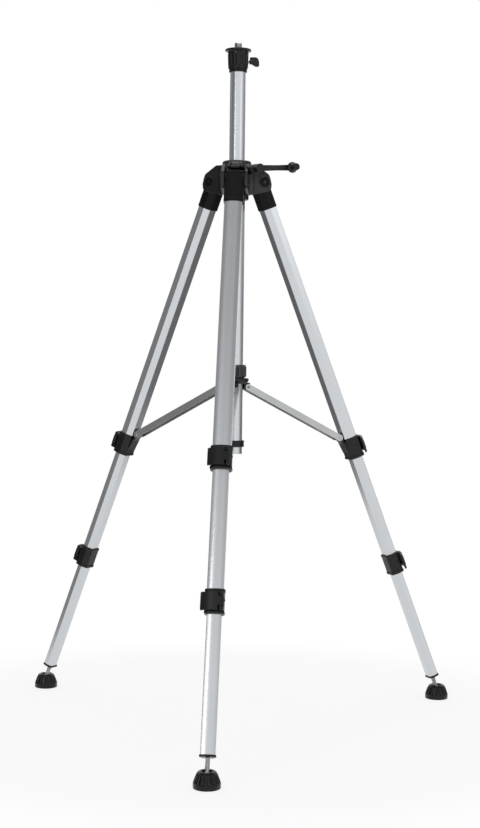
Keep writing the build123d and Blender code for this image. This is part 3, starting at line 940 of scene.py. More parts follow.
@dataclass
class Head:
    """Instrument head: threaded stud, plate, fluted body and wing screw."""

    bottom: float = 1349.3
    plate_low: float = 1384.3
    plate_high: float = 1390.4
    plate_radius: float = 27.1
    low_radius: float = 20.6
    high_radius: float = 21.4
    stud_crest: float = 7.94
    stud_root: float = 6.7
    stud_pitch: float = 2.309
    stud_top: float = 1403.6
    flutes: int = 16
    flute_depth: float = 1.5
    flute_share: float = 0.6
    bore: float = 12.4
    plate_bore: float = 9.0
    grooves: int = 5
    groove_step: float = 3.0
    groove_depth: float = 0.5
    stud_shoulder: float = 8.4
    wing_height: float = 1364.3
    wing_start: float = 24.0
    wing_thick: float = 4.5
    shank_start: float = 12.6
    shank_crest: float = 3.0
    shank_root: float = 2.45
    shank_pitch: float = 1.0

    def build(self, bench: Bench) -> None:
        """Build the head's pieces.

        Args:
            bench: Where pieces are made.
        """
        self.build_body(bench)
        self.build_plate(bench)
        self.build_stud(bench)
        self.build_wing(bench)

    def build_body(self, bench: Bench) -> None:
        """Build the fluted body with its lip.

        Args:
            bench: Where pieces are made.
        """
        lip = self.bottom + 3.4
        neck = self.plate_low - 3.6
        rise = (neck - lip - 1.0) / 10
        lean = (self.high_radius - self.low_radius) / 10
        wall = [(self.low_radius + lean * step, lip + 1.0 + rise * step) for step in range(11)]
        profile = [
            (self.bore, self.bottom),
            (self.low_radius - 1.6, self.bottom),
            (self.low_radius - 0.7, self.bottom + 0.8),
            (self.low_radius - 0.7, lip - 0.5),
            (self.low_radius - 0.3, lip + 0.2),
        ]
        top = self.plate_low + 0.2
        profile += wall + [(self.high_radius, top), (self.bore, top)]
        body = Form.lathe(profile, 192, True)
        outside = self.bore + 2.6
        body.flute(self.flutes, self.flute_depth, lip + 2.0, neck - 1.0, outside, self.flute_share)
        satin = bench.finishes.moulding
        bench.piece(body, "head_fluted_body", "head", Slot.PLASTIC, satin, ["head_body"])

    def build_plate(self, bench: Bench) -> None:
        """Build the plate with its flare and its ringed top.

        Args:
            bench: Where pieces are made.
        """
        flare = arc_through(
            (self.high_radius - 0.4, self.plate_low - 2.6),
            (self.high_radius + 0.6, self.plate_low - 0.1),
            (self.high_radius + 2.6, self.plate_low + 0.9),
            6,
        )
        edge = [
            (self.plate_radius - 1.2, self.plate_low + 1.2),
            (self.plate_radius - 0.3, self.plate_low + 1.9),
            (self.plate_radius, self.plate_low + 3.0),
            (self.plate_radius - 0.3, self.plate_high - 1.0),
            (self.plate_radius - 1.3, self.plate_high - 0.2),
        ]
        rings = []
        sunk = self.plate_high - self.groove_depth
        for step in range(self.grooves):
            radius = self.plate_radius - 2.4 - self.groove_step * step
            rings += [(radius, self.plate_high), (radius - 1.5, self.plate_high)]
            rings += [(radius - 1.8, sunk), (radius - 2.8, sunk)]
        under, bore = self.plate_low - 2.6, self.plate_bore
        plate = Form.lathe([(bore, under)] + flare + edge + rings + [(bore, sunk)], 96, True)
        satin = bench.finishes.moulding
        bench.piece(plate, "head_ringed_plate", "head", Slot.PLASTIC, satin, ["head_plate"])

    def build_stud(self, bench: Bench) -> None:
        """Build the threaded stud with its plain point and its shoulder.

        Args:
            bench: Where pieces are made.
        """
        point = self.stud_top - 1.6
        stud = Form.thread(self.stud_crest, self.stud_root, self.stud_pitch, self.plate_high, point)
        root = self.stud_root
        tip = [(0, point - 1.0), (root + 0.5, point - 1.0), (root + 0.5, point + 0.6)]
        tip += [(root - 0.4, self.stud_top), (0, self.stud_top)]
        stud.join(Form.lathe(tip, 48))
        wide = self.stud_shoulder
        shoulder = [(0, self.plate_low), (wide, self.plate_low), (wide, self.plate_high - 0.3)]
        shoulder += [(wide - 0.4, self.plate_high + 0.1), (0, self.plate_high + 0.1)]
        stud.join(Form.lathe(shoulder, 48))
        steel = bench.finishes.steel
        bench.piece(stud, "head_threaded_stud", "head", Slot.STEEL, steel, ["head_stud"])

    def build_wing(self, bench: Bench) -> None:
        """Build the wing screw: threaded shank and a leaf-shaped grip.

        Args:
            bench: Where pieces are made.
        """
        start = self.wing_start
        place = move(z=self.wing_height)
        leaf = [
            (start, 8.6),
            (start + 1.8, 10.0),
            (start + 13.0, 10.0),
            (start + 17.2, 7.0),
            (start + 19.4, 0.6),
            (start + 19.6, -7.0),
            (start + 18.0, -9.6),
            (start + 11.4, -9.6),
            (start, -2.4),
        ]
        grip = Form.prism(rounded(leaf, 3.4, 5), -self.wing_thick / 2, self.wing_thick / 2)
        grip.soften(1.5, 4, 50.0)
        grip.moved(turn(90, "X"))
        boss = [(0, start - 0.6), (4.0, start - 0.6), (4.8, start + 0.4), (4.6, start + 7.0)]
        boss += [(2.0, start + 11.0), (0, start + 11.4)]
        grip.join(Form.lathe(boss, 32), ACROSS)
        plastic = bench.finishes.plastic
        grip.moved(place)
        bench.piece(grip, "wing_screw_leaf", "wing_screw", Slot.PLASTIC, plastic, ["wing_screw_grip"])
        shank = Form.thread(
            self.shank_crest, self.shank_root, self.shank_pitch, self.shank_start, start + 4.0
        ).moved(place @ ACROSS)
        steel = bench.finishes.steel
        bench.piece(shank, "wing_screw_thread", "wing_screw", Slot.STEEL, steel, ["wing_screw_shank"])


@dataclass
class Column:
    """Centre column with its cap, and the guide tube with its end stop."""

    crown: "Crown"
    cap_low: float = 1343.0
    cap_high: float = 1349.0
    cap_radius: float = 18.6
    tube_radius: float = 16.25
    post_radius: float = 12.0
    post_top: float = 1373.0
    stop_low: float = 572.4
    stop_high: float = 585.9
    stop_radius: float = 22.0
    screw_azimuths: tuple[float, ...] = (-30.0, 90.0, 210.0)

    def build(self, bench: Bench) -> None:
        """Build the cap and the stop ring, and dress the tubes and the rack.

        Args:
            bench: Where pieces are made.
        """
        upright = bench.finishes.tube("column", Matrix.Identity(4))
        for node in ("column_tube", "guide_tube"):
            bench.dress(node, upright)
        steel = bench.finishes.steel
        for node in ("column_rack", "lift_pinion"):
            bench.dress(node, steel)
        bench.dress("column_plug", bench.finishes.plastic)
        self.build_cap(bench)
        self.build_stop(bench)

    def build_cap(self, bench: Bench) -> None:
        """Build the grooved cap with the post that the head turns on.

        Args:
            bench: Where pieces are made.
        """
        cap = Form.lathe(
            [
                (0, self.cap_low - 6.0),
                (self.tube_radius - 1.6, self.cap_low - 6.0),
                (self.tube_radius - 1.6, self.cap_low),
                (self.cap_radius - 0.8, self.cap_low),
                (self.cap_radius, self.cap_low + 0.8),
                (self.cap_radius, self.cap_low + 2.2),
                (self.cap_radius - 0.7, self.cap_low + 2.8),
                (self.cap_radius, self.cap_low + 3.4),
                (self.cap_radius, self.cap_high - 0.8),
                (self.cap_radius - 0.8, self.cap_high),
                (self.post_radius, self.cap_high),
                (self.post_radius, self.post_top - 1.0),
                (self.post_radius - 1.0, self.post_top),
                (0, self.post_top),
            ],
            72,
        )
        plastic = bench.finishes.plastic
        bench.piece(cap, "column_grooved_cap", "column", Slot.PLASTIC, plastic, ["column_cap"])

    def build_stop(self, bench: Bench) -> None:
        """Build the stop ring at the guide tube's end, with its screws.

        Args:
            bench: Where pieces are made.
        """
        bore = self.crown.guide_radius + SEAT_GAP
        stop = Form.lathe(
            [
                (bore, self.stop_low),
                (self.stop_radius - 1.0, self.stop_low),
                (self.stop_radius, self.stop_low + 1.0),
                (self.stop_radius, self.stop_low + 4.6),
                (self.stop_radius - 0.6, self.stop_low + 5.2),
                (self.stop_radius - 0.6, self.stop_high - 5.2),
                (self.stop_radius, self.stop_high - 4.6),
                (self.stop_radius, self.stop_high - 1.0),
                (self.stop_radius - 1.0, self.stop_high),
                (bore, self.stop_high),
            ],
            72,
            True,
        )
        middle = (self.stop_low + self.stop_high) / 2
        for azimuth in self.screw_azimuths:
            screw = socket_head(2.4, 1.6, self.stop_radius - 1.2)
            stop.join(screw, move(z=middle) @ turn(azimuth, "Z") @ ACROSS)
        plastic = bench.finishes.plastic
        bench.piece(stop, "guide_tube_stop", "crown", Slot.PLASTIC, plastic, ["guide_stop_ring"])


@dataclass
class Crown:
    """Casting that carries the column, the leg hinges, the gear case, the crank and the level."""

    azimuths: tuple[float, ...]
    pivot_radius: float = 51.0
    pivot_height: float = 1119.82
    barrel_radius: float = 25.0
    barrel_low: float = 1082.0
    socket_top: float = 1100.0
    guide_radius: float = 17.75
    bore: float = 16.55
    collar_radius: float = 30.0
    collar_low: float = 1152.6
    collar_high: float = 1161.7
    cheek_inner: float = 20.5
    cheek_thick: float = 7.0
    cheek_reach: float = 67.6
    cheek_low: float = 1100.7
    cheek_root: float = 1092.0
    cheek_flat: float = 34.0
    crest_reach: float = 61.0
    crest_height: float = 1136.0
    web_depth: float = 14.0
    rib_near: float = 26.0
    rib_far: float = 33.0
    cap_radius: float = 10.0
    cap_rise: float = 4.5
    lift_height: float = 1140.0
    case_half: float = 18.0
    case_start: float = 19.0
    case_reach: float = 38.0
    case_rise: float = 14.0
    case_wall: float = 3.4
    case_room: float = 4.2
    cover_half: float = 15.0
    cover_screw_x: float = 11.0
    cover_screw_z: float = 7.5
    pad_reach: float = 45.5
    pad_root: float = 20.0
    pad_radius: float = 15.5
    pad_low: float = 1141.0
    pad_high: float = 1148.0
    crank_azimuth: float = -55.5
    shaft_bore: float = 5.1
    sleeve_radius: float = 9.5
    sleeve_start: float = 24.0
    sleeve_root: float = 40.0
    sleeve_end: float = 78.0

    def build(self, bench: Bench) -> None:
        """Build the casting, its cover's screws and the hinge bolts.

        Args:
            bench: Where pieces are made.
        """
        shell = self.barrel()
        for azimuth in self.azimuths:
            shell.join(self.hinge(), around(azimuth))
        shell.join(self.gear_case())
        shell.join(self.crank_sleeve())
        shell.join(self.level_shelf())
        casting = bench.finishes.casting
        bench.piece(shell, "crown_shell", "crown", Slot.CASTING, casting, ["crown_casting"])
        self.build_case_screws(bench)
        self.build_bolts(bench)

    def barrel(self) -> Form:
        """Turn the barrel with its collar, bored through.

        Returns:
            The barrel.
        """
        low, high = self.collar_low, self.collar_high
        return Form.lathe(
            [
                (self.guide_radius + SEAT_GAP, self.barrel_low),
                (self.barrel_radius - 1.5, self.barrel_low),
                (self.barrel_radius, self.barrel_low + 1.5),
                (self.barrel_radius, low - 1.5),
                (self.collar_radius - 1.0, low),
                (self.collar_radius, low + 1.2),
                (self.collar_radius, high - 3.4),
                (self.collar_radius - 0.8, high - 2.6),
                (self.collar_radius - 0.8, high - 1.8),
                (self.collar_radius - 1.6, high - 0.6),
                (self.collar_radius - 3.0, high),
                (self.bore + 4.2, high),
                (self.bore + 3.4, high - 0.8),
                (self.bore + 0.8, high - 0.8),
                (self.bore, high - 1.6),
                (self.bore, self.socket_top),
                (self.guide_radius + SEAT_GAP, self.socket_top),
            ],
            96,
            True,
        )

    def hinge(self) -> Form:
        """Shape one pair of cheeks with the web behind them, ribs and bolt seats.

        Returns:
            The hinge, drawn along +Y.
        """
        inner, outer = self.cheek_inner, self.cheek_inner + self.cheek_thick
        reach, height = self.cheek_reach, self.pivot_height
        profile = [
            (self.barrel_radius / 2, self.collar_low),
            (self.cheek_flat, self.collar_low),
            (self.crest_reach, self.crest_height),
            (reach - 3.0, height + 8.0),
            (reach, height - 4.0),
            (reach - 1.0, self.cheek_low + 6.0),
            (reach - 6.0, self.cheek_low),
            (self.barrel_radius, self.cheek_root),
            (self.barrel_radius / 2, self.cheek_root),
        ]
        hinge = Form()
        for low, high in ((inner, outer), (-outer, -inner)):
            cheek = Form.plate(rounded(profile, 4.0, 5), low, high).soften(1.1, 3, 50.0)
            hinge.join(cheek)
        web = Form.slab(
            (1.0 - outer, outer - 1.0),
            (self.barrel_radius / 2, self.cheek_flat),
            (self.collar_low - self.web_depth, self.collar_low - 0.2),
        )
        hinge.join(web.soften(1.2, 3))
        for side in (-1, 1):
            seat = Form.lathe(
                [
                    (self.cap_radius + 0.3, outer - 1.0),
                    (self.cap_radius + 2.4, outer - 1.0),
                    (self.cap_radius + 2.4, outer + 0.7),
                    (self.cap_radius + 1.8, outer + 1.2),
                    (self.cap_radius + 0.8, outer + 1.2),
                    (self.cap_radius + 0.3, outer + 0.7),
                ],
                56,
                True,
            )
            facing = ACROSS if side > 0 else turn(180, "Z") @ ACROSS
            hinge.join(seat, move(0, self.pivot_radius, self.pivot_height) @ facing)
            low, high = self.cheek_root + 5.0, self.collar_low - 5.0
            near, far = self.rib_near, self.rib_far
            rib = Form.plate(
                rounded([(near, low), (far, low + 1.0), (far, high), (near, high)], 1.5),
                outer - 0.5,
                outer + 1.6,
            ).soften(0.7, 2, 50.0)
            hinge.join(rib if side > 0 else rib.moved(move(-2 * outer - 1.1)))
        return hinge

    def gear_case(self) -> Form:
        """Shape the gear case at the back with its raised cover, open where the pinion runs.

        Returns:
            The case.
        """
        low, high = self.lift_height - self.case_rise, self.lift_height + self.case_rise
        start, reach, room = self.case_start, self.case_reach, self.case_room
        case = Form()
        for ends in ((-self.case_half, -room), (room, self.case_half)):
            case.join(Form.slab(ends, (start, reach), (low, high)).soften(1.6, 3))
        across = (-room - 1, room + 1)
        case.join(Form.slab(across, (reach - 4.0, reach), (low, high)).soften(0.8, 2))
        for level in ((low, low + self.case_wall), (high - self.case_wall, high)):
            case.join(Form.slab(across, (start, reach - 1.0), level))
        half, corner = self.cover_half, reach + 0.55
        cover = Form.slab((-half, half), (reach - 0.5, reach + 1.6), (low + 3.0, high - 3.0))

        def at_corner(spot: Vector) -> bool:
            """Tell whether an edge's middle lies on a corner of the cover."""
            return abs(abs(spot.x) - half) < 0.1 and abs(spot.y - corner) < 0.7

        cover.soften(3.0, 4, 50.0, at_corner)
        return case.join(cover.soften(0.6, 2, 50.0))

    def crank_place(self) -> Matrix:
        """Return the place whose Z axis is the crank's shaft."""
        return move(z=self.lift_height) @ turn(self.crank_azimuth, "Z") @ ACROSS

    def crank_sleeve(self) -> Form:
        """Turn the sleeve that carries the crank's shaft.

        Returns:
            The sleeve, in place.
        """
        radius, bore = self.sleeve_radius, self.shaft_bore
        start, root, end = self.sleeve_start, self.sleeve_root, self.sleeve_end
        return Form.lathe(
            [
                (bore, start),
                (radius + 2.5, start),
                (radius + 2.5, root),
                (radius, root + 4.0),
                (radius, end - 8.0),
                (radius - 0.6, end - 7.4),
                (radius - 0.6, end - 6.2),
                (radius, end - 5.6),
                (radius, end - 1.0),
                (radius - 1.0, end),
                (bore, end),
            ],
            56,
            True,
        ).moved(self.crank_place())

    def level_shelf(self) -> Form:
        """Shape the shelf in front that carries the bull's-eye level.

        Returns:
            The shelf.
        """
        rim = self.pad_radius
        belly = arc_through(
            (rim - 5.5, self.pad_low), (rim - 2.0, self.pad_low + 1.3), (rim, self.pad_low + 4.4), 8
        )
        edge = [(rim, self.pad_high - 0.9), (rim - 0.9, self.pad_high), (0, self.pad_high)]
        shelf = Form.lathe([(0, self.pad_low)] + belly + edge, 64).moved(move(0, -self.pad_reach, 0))
        half = rim - 4.0
        neck = Form.slab((-half, half), (-self.pad_reach, -self.pad_root), (self.pad_low, self.pad_high))
        return shelf.join(neck.soften(0.9, 2))

    def build_case_screws(self, bench: Bench) -> None:
        """Build the four screws of the gear case's cover.

        Args:
            bench: Where pieces are made.
        """
        screws = Form()
        for x in (-self.cover_screw_x, self.cover_screw_x):
            for z in (-self.cover_screw_z, self.cover_screw_z):
                place = move(x, self.case_reach + 1.4, self.lift_height + z) @ turn(-90, "X")
                screws.join(socket_head(2.3, 1.3, 0.0), place)
        steel = bench.finishes.steel
        bench.piece(screws, "gear_case_screws", "crown", Slot.STEEL, steel)

    def build_bolts(self, bench: Bench) -> None:
        """Build the hinge bolts: a rod with a domed cap at each end, and dark centres.

        Args:
            bench: Where pieces are made.
        """
        outer = self.cheek_inner + self.cheek_thick
        base = outer - 2.5
        top = base + self.cap_rise
        radius = self.cap_radius
        caps, centres = Form(), Form()
        cap = [
            (6.0, base),
            (radius, base),
            (radius, top - 1.3),
            (radius - 0.5, top - 0.5),
            (radius - 1.5, top),
            (5.0, top),
            (4.6, top - 1.2),
            (0, top - 1.2),
        ]
        far_cap = [(across, -height) for across, height in reversed(cap)]
        for azimuth in self.azimuths:
            hinge = around(azimuth) @ move(0, self.pivot_radius, self.pivot_height)
            caps.join(Form.lathe(far_cap + cap, 56), hinge @ ACROSS)
            for side in (0.0, 180.0):
                centres.join(socket_head(3.6, 1.0, top - 1.3), hinge @ turn(side, "Z") @ ACROSS)
        deep = bench.finishes.bracket
        coated = bench.finishes.casting
        bench.piece(caps, "hinge_bolt_caps", "crown", Slot.PLASTIC, deep, ["leg_pivot_bolts"])
        bench.piece(centres, "hinge_bolt_centres", "crown", Slot.CASTING, coated)


@dataclass
class Level:
    """Bull's-eye level on its shelf."""

    crown: Crown
    high: float = 1154.5
    ring: float = 13.5
    glass: float = 10.5
    glass_rise: float = 2.2
    mark: Point = (4.4, 5.0)
    bubble: float = 3.4

    @property
    def low(self) -> float:
        """Height of the shelf that the level stands on."""
        return self.crown.pad_high

    def build(self, bench: Bench) -> None:
        """Build the ring, the clear dome, the fluid under it, the mark and the bubble.

        Args:
            bench: Where pieces are made.
        """
        place = move(0, -self.crown.pad_reach, 0)
        ring = Form.lathe(
            [
                (self.glass + SLIP_GAP, self.low),
                (self.ring - 0.5, self.low),
                (self.ring, self.low + 0.6),
                (self.ring, self.high - 2.6),
                (self.ring - 0.5, self.high - 2.0),
                (self.ring - 0.5, self.high - 1.2),
                (self.ring - 1.6, self.high),
                (self.glass + 0.8, self.high),
                (self.glass + SLIP_GAP, self.high - 0.8),
            ],
            72,
            True,
        )
        trim, clear = bench.finishes.trim, bench.finishes.clear
        bench.piece(ring.moved(place), "level_bezel", "crown", Slot.TRIM, trim, ["level_ring"])
        top = self.high - 1.0
        rise = self.glass_rise
        angles = [math.radians(angle) for angle in range(90, -1, -15)]
        dome = [(self.glass * math.sin(angle), top - rise + rise * math.cos(angle)) for angle in angles]
        window = Form.lathe([(0, self.low + rise), (self.glass, self.low + rise)] + dome, 64)
        bench.piece(window.moved(place), "level_window", "crown", Slot.GLASS, clear, ["level_glass"])
        rim = self.glass - 0.1
        floor, surface = self.low + 0.4, self.low + 2.0
        dish = Form.lathe([(0, floor), (rim, floor), (rim, surface - 0.1), (0, surface)], 56)
        bench.piece(dish.moved(place), "level_fluid", "crown", Slot.GLASS, bench.finishes.fluid)
        low, high = surface - 0.2, surface + 0.12
        inner, outer = self.mark
        mark = Form.lathe([(inner, low), (outer, low), (outer, high), (inner, high)], 48, True)
        bench.piece(mark.moved(place), "level_mark", "crown", Slot.TRIM, trim)
        bubble = [(0, low), (self.bubble - 0.4, low), (self.bubble, surface)]
        bubble += [(self.bubble - 0.9, high), (0, high + 0.05)]
        air = bench.finishes.air
        bench.piece(Form.lathe(bubble, 40).moved(place), "level_bubble", "crown", Slot.GLASS, air)


@dataclass
class Crank:
    """Crank arm with its shaft, knob pin and turning knob."""

    crown: Crown
    rest: float = 4.4
    plane: float = 90.0
    hub_start: float = 78.6
    hub_radius: float = 9.0
    length: float = 74.5
    height: float = 12.0
    thick: float = 8.0
    shaft: float = 5.02
    pocket_start: float = 14.0
    pocket_end: float = 15.0
    pin: float = 3.05
    knob_end: float = 116.0
    disc_radius: float = 11.0
    grip_radius: float = 7.3
    flutes: int = 12
    flute_depth: float = 0.7

    def place(self) -> Matrix:
        """Return the crank's place: Z along its shaft, Y along its arm."""
        return self.crown.crank_place() @ turn(self.rest, "Z")

    def build(self, bench: Bench) -> None:
        """Build the arm and the knob, and dress the steel parts.

        Args:
            bench: Where pieces are made.
        """
        steel = bench.finishes.steel
        bench.dress("crank_shaft", steel)
        bench.dress("crank_knob_pin", steel)
        self.build_arm(bench)
        self.build_knob(bench, self.plane + self.thick / 2 + RUN_GAP)

    def build_arm(self, bench: Bench) -> None:
        """Build the arm with its pocket, hub and boss, and the hub's screw.

        Args:
            bench: Where pieces are made.
        """
        near, far = self.plane - self.thick / 2, self.plane + self.thick / 2
        half = self.height / 2
        blade = [
            (-half, 0.0),
            (half, 0.0),
            (half - 0.8, self.length * 0.55),
            (half, self.length),
            (half * 0.5, self.length + half * 0.9),
            (-half * 0.5, self.length + half * 0.9),
            (-half, self.length),
            (-half + 0.8, self.length * 0.55),
        ]
        arm = Form.prism(rounded(blade, 3.0, 4), near, far).soften(1.0, 3, 50.0)
        inner, outer = self.pocket_start, self.length - self.pocket_end
        pocket = [(-half + 2.6, inner), (half - 2.6, inner), (half - 3.0, outer), (-half + 3.0, outer)]
        rim = Form.prism(rounded(pocket, 1.5, 4), far - 0.4, far + 0.9).sink(Vector((0, 0, 1)), 0.9, 0.7)
        arm.join(rim.soften(0.25, 2, 60.0))
        hub = Form.lathe(
            [
                (0, far - 2.0),
                (self.shaft, far - 2.0),
                (self.shaft, self.hub_start),
                (self.hub_radius - 0.8, self.hub_start),
                (self.hub_radius, self.hub_start + 0.8),
                (self.hub_radius, far + 1.0),
                (self.hub_radius - 1.2, far + 2.0),
                (4.2, far + 2.0),
                (3.8, far + 1.2),
                (0, far + 1.2),
            ],
            56,
        )
        boss = [(0, near - 0.8), (half - 1.0, near - 0.8), (half, near)]
        boss += [(half, far), (half - 1.6, far + 0.2), (0, far + 0.2)]
        arm.join(hub).join(Form.lathe(boss, 48), move(0, self.length, 0))
        arm.moved(self.place())
        plastic, coated = bench.finishes.plastic, bench.finishes.casting
        bench.piece(arm, "crank_moulded_arm", "crank", Slot.PLASTIC, plastic, ["crank_arm"])
        screw = socket_head(3.4, 1.4, far + 1.0).moved(self.place())
        bench.piece(screw, "crank_hub_screw", "crank", Slot.CASTING, coated)

    def build_knob(self, bench: Bench, floor: float) -> None:
        """Build the knob that turns on the arm's pin.

        Args:
            bench: Where pieces are made.
            floor: Height of the knob's base along the shaft.
        """
        disc, grip, end = self.disc_radius, self.grip_radius, self.knob_end
        wall = []
        for step in range(9):
            swell = 0.25 * math.sin(math.pi * step / 8)
            wall.append((grip + swell, floor + 8.6 + step * (end - floor - 12.0) / 8))
        tip = [(grip - 0.8, end - 1.2), (grip - 2.4, end - 0.2), (3.0, end), (2.6, end - 0.5)]
        tip += [(0, end - 0.5), (0, end - 3.7), (self.pin, end - 3.7)]
        knob = Form.lathe(
            [
                (self.pin, floor),
                (disc - 1.2, floor),
                (disc, floor + 1.0),
                (disc, floor + 3.6),
                (disc - 1.4, floor + 5.0),
                (grip + 0.6, floor + 6.6),
            ]
            + wall
            + tip,
            96,
            True,
        )
        knob.flute(self.flutes, self.flute_depth, floor + 9.0, end - 3.0, self.pin + 1.95)
        knob.moved(self.place() @ move(0, self.length, 0))
        plastic = bench.finishes.plastic
        bench.piece(knob, "crank_turning_knob", "crank_grip", Slot.PLASTIC, plastic, ["crank_knob"])


@dataclass
class Spreader:
    """Hub on the guide tube, its pins and the twist lock above it."""

    azimuths: tuple[float, ...]
    ring: float = 30.0
    low: float = 703.5
    high: float = 715.1
    neck: float = 20.4
    neck_top: float = 735.3
    bore: float = 18.05
    pin_radius: float = 27.5
    pin_height: float = 696.3
    blade: float = 20.4
    nose: float = 4.6
    arm_half: float = 12.0
    rivet: float = 3.3
    lock_radius: float = 25.0
    lock_low: float = 716.6
    lock_high: float = 742.7
    lock_ledge: float = 6.0
    flutes: int = 18
    flute_depth: float = 2.2
    pin: float = 2.0

    def build(self, bench: Bench) -> None:
        """Build the hub, its pins and the lock collar.

        Args:
            bench: Where pieces are made.
        """
        self.build_hub(bench)
        self.build_pins(bench)
        self.build_lock(bench)

    def build_hub(self, bench: Bench) -> None:
        """Build the hub with a fin and a screw for each arm.

        Args:
            bench: Where pieces are made.
        """
        hub = Form.lathe(
            [
                (self.bore, self.low),
                (self.ring - 5.0, self.low),
                (self.ring - 3.6, self.low + 1.4),
                (self.ring - 0.8, self.low + 5.0),
                (self.ring, self.low + 7.0),
                (self.ring, self.high - 1.8),
                (self.ring - 0.6, self.high - 0.6),
                (self.ring - 1.8, self.high),
                (self.neck, self.high),
                (self.neck, self.neck_top),
                (self.bore, self.neck_top),
            ],
            88,
            True,
        )
        fin = [
            (self.bore + 0.2, self.low + 2.0),
            (self.bore + 0.2, self.pin_height - self.nose),
            (self.pin_radius, self.pin_height - self.nose),
            (self.pin_radius + self.nose * 0.8, self.pin_height - self.nose * 0.6),
            (self.pin_radius + self.nose, self.pin_height + 1.0),
            (self.pin_radius + self.nose, self.low + 2.0),
        ]
        for azimuth in self.azimuths:
            blade = Form.plate(rounded(fin, 2.5, 5), -self.blade / 2, self.blade / 2).soften(0.5, 2, 50.0)
            hub.join(blade, around(azimuth))
            screw = socket_head(2.2, 1.3, self.ring - 0.7)
            place = turn(azimuth + 60.0, "Z") @ move(z=self.high - 4.4) @ ACROSS
            hub.join(screw, place)
        plastic = bench.finishes.plastic
        bench.piece(hub, "spreader_hub_moulding", "spreader", Slot.PLASTIC, plastic, ["spreader_hub"])

    def build_pins(self, bench: Bench) -> None:
        """Build the tubular rivets that the arms swing on, and black plugs of painted shade in their holes.

        Args:
            bench: Where pieces are made.
        """
        steel, coated = bench.finishes.steel, bench.finishes.casting
        pins, painted_hole_shade = Form(), Form()
        reach = self.arm_half - 0.6
        shank = [(0, -reach), (self.pin, -reach), (self.pin, reach), (0, reach)]
        for azimuth in self.azimuths:
            place = around(azimuth) @ move(0, self.pin_radius, self.pin_height) @ ACROSS
            pins.join(Form.lathe(shank, 24), place)
            for flip in (0.0, 180.0):
                pins.join(rivet_ring(self.rivet, self.arm_half), place @ turn(flip, "Y"))
                # black plug in each rivet hole: painted shade
                painted_hole_shade.join(rivet_hole_painted_shade(self.rivet, self.arm_half), place @ turn(flip, "Y"))
        bench.piece(pins, "spreader_hub_rivets", "spreader", Slot.STEEL, steel, ["spreader_hub_pins"])
        # the plugs are painted shade, given the black casting finish
        bench.piece(painted_hole_shade, "spreader_hub_rivet_painted_shade", "spreader", Slot.CASTING, coated)

    def build_lock(self, bench: Bench) -> None:
        """Build the fluted twist lock.

        Args:
            bench: Where pieces are made.
        """
        radius, low, high = self.lock_radius, self.lock_low, self.lock_high
        room, ledge = self.neck + RUN_GAP, high - self.lock_ledge
        wall = [(radius, low + 3.2 + step * (high - low - 7.4) / 6) for step in range(7)]
        lock = Form.lathe(
            [
                (room, low),
                (radius - 1.8, low),
                (radius - 0.8, low + 0.8),
                (radius - 0.8, low + 2.4),
            ]
            + wall
            + [
                (radius - 1.0, high - 3.0),
                (radius - 1.0, high - 1.2),
                (radius - 2.2, high),
                (self.bore, high),
                (self.bore, ledge),
                (room, ledge),
            ],
            self.flutes * 9,
            True,
        )
        lock.flute(self.flutes, self.flute_depth, low + 3.0, high - 3.8, self.neck + 1.0)
        gloss = bench.finishes.trim
        bench.piece(lock, "spreader_twist_lock", "spreader_lock", Slot.TRIM, gloss, ["spreader_lock_collar"])


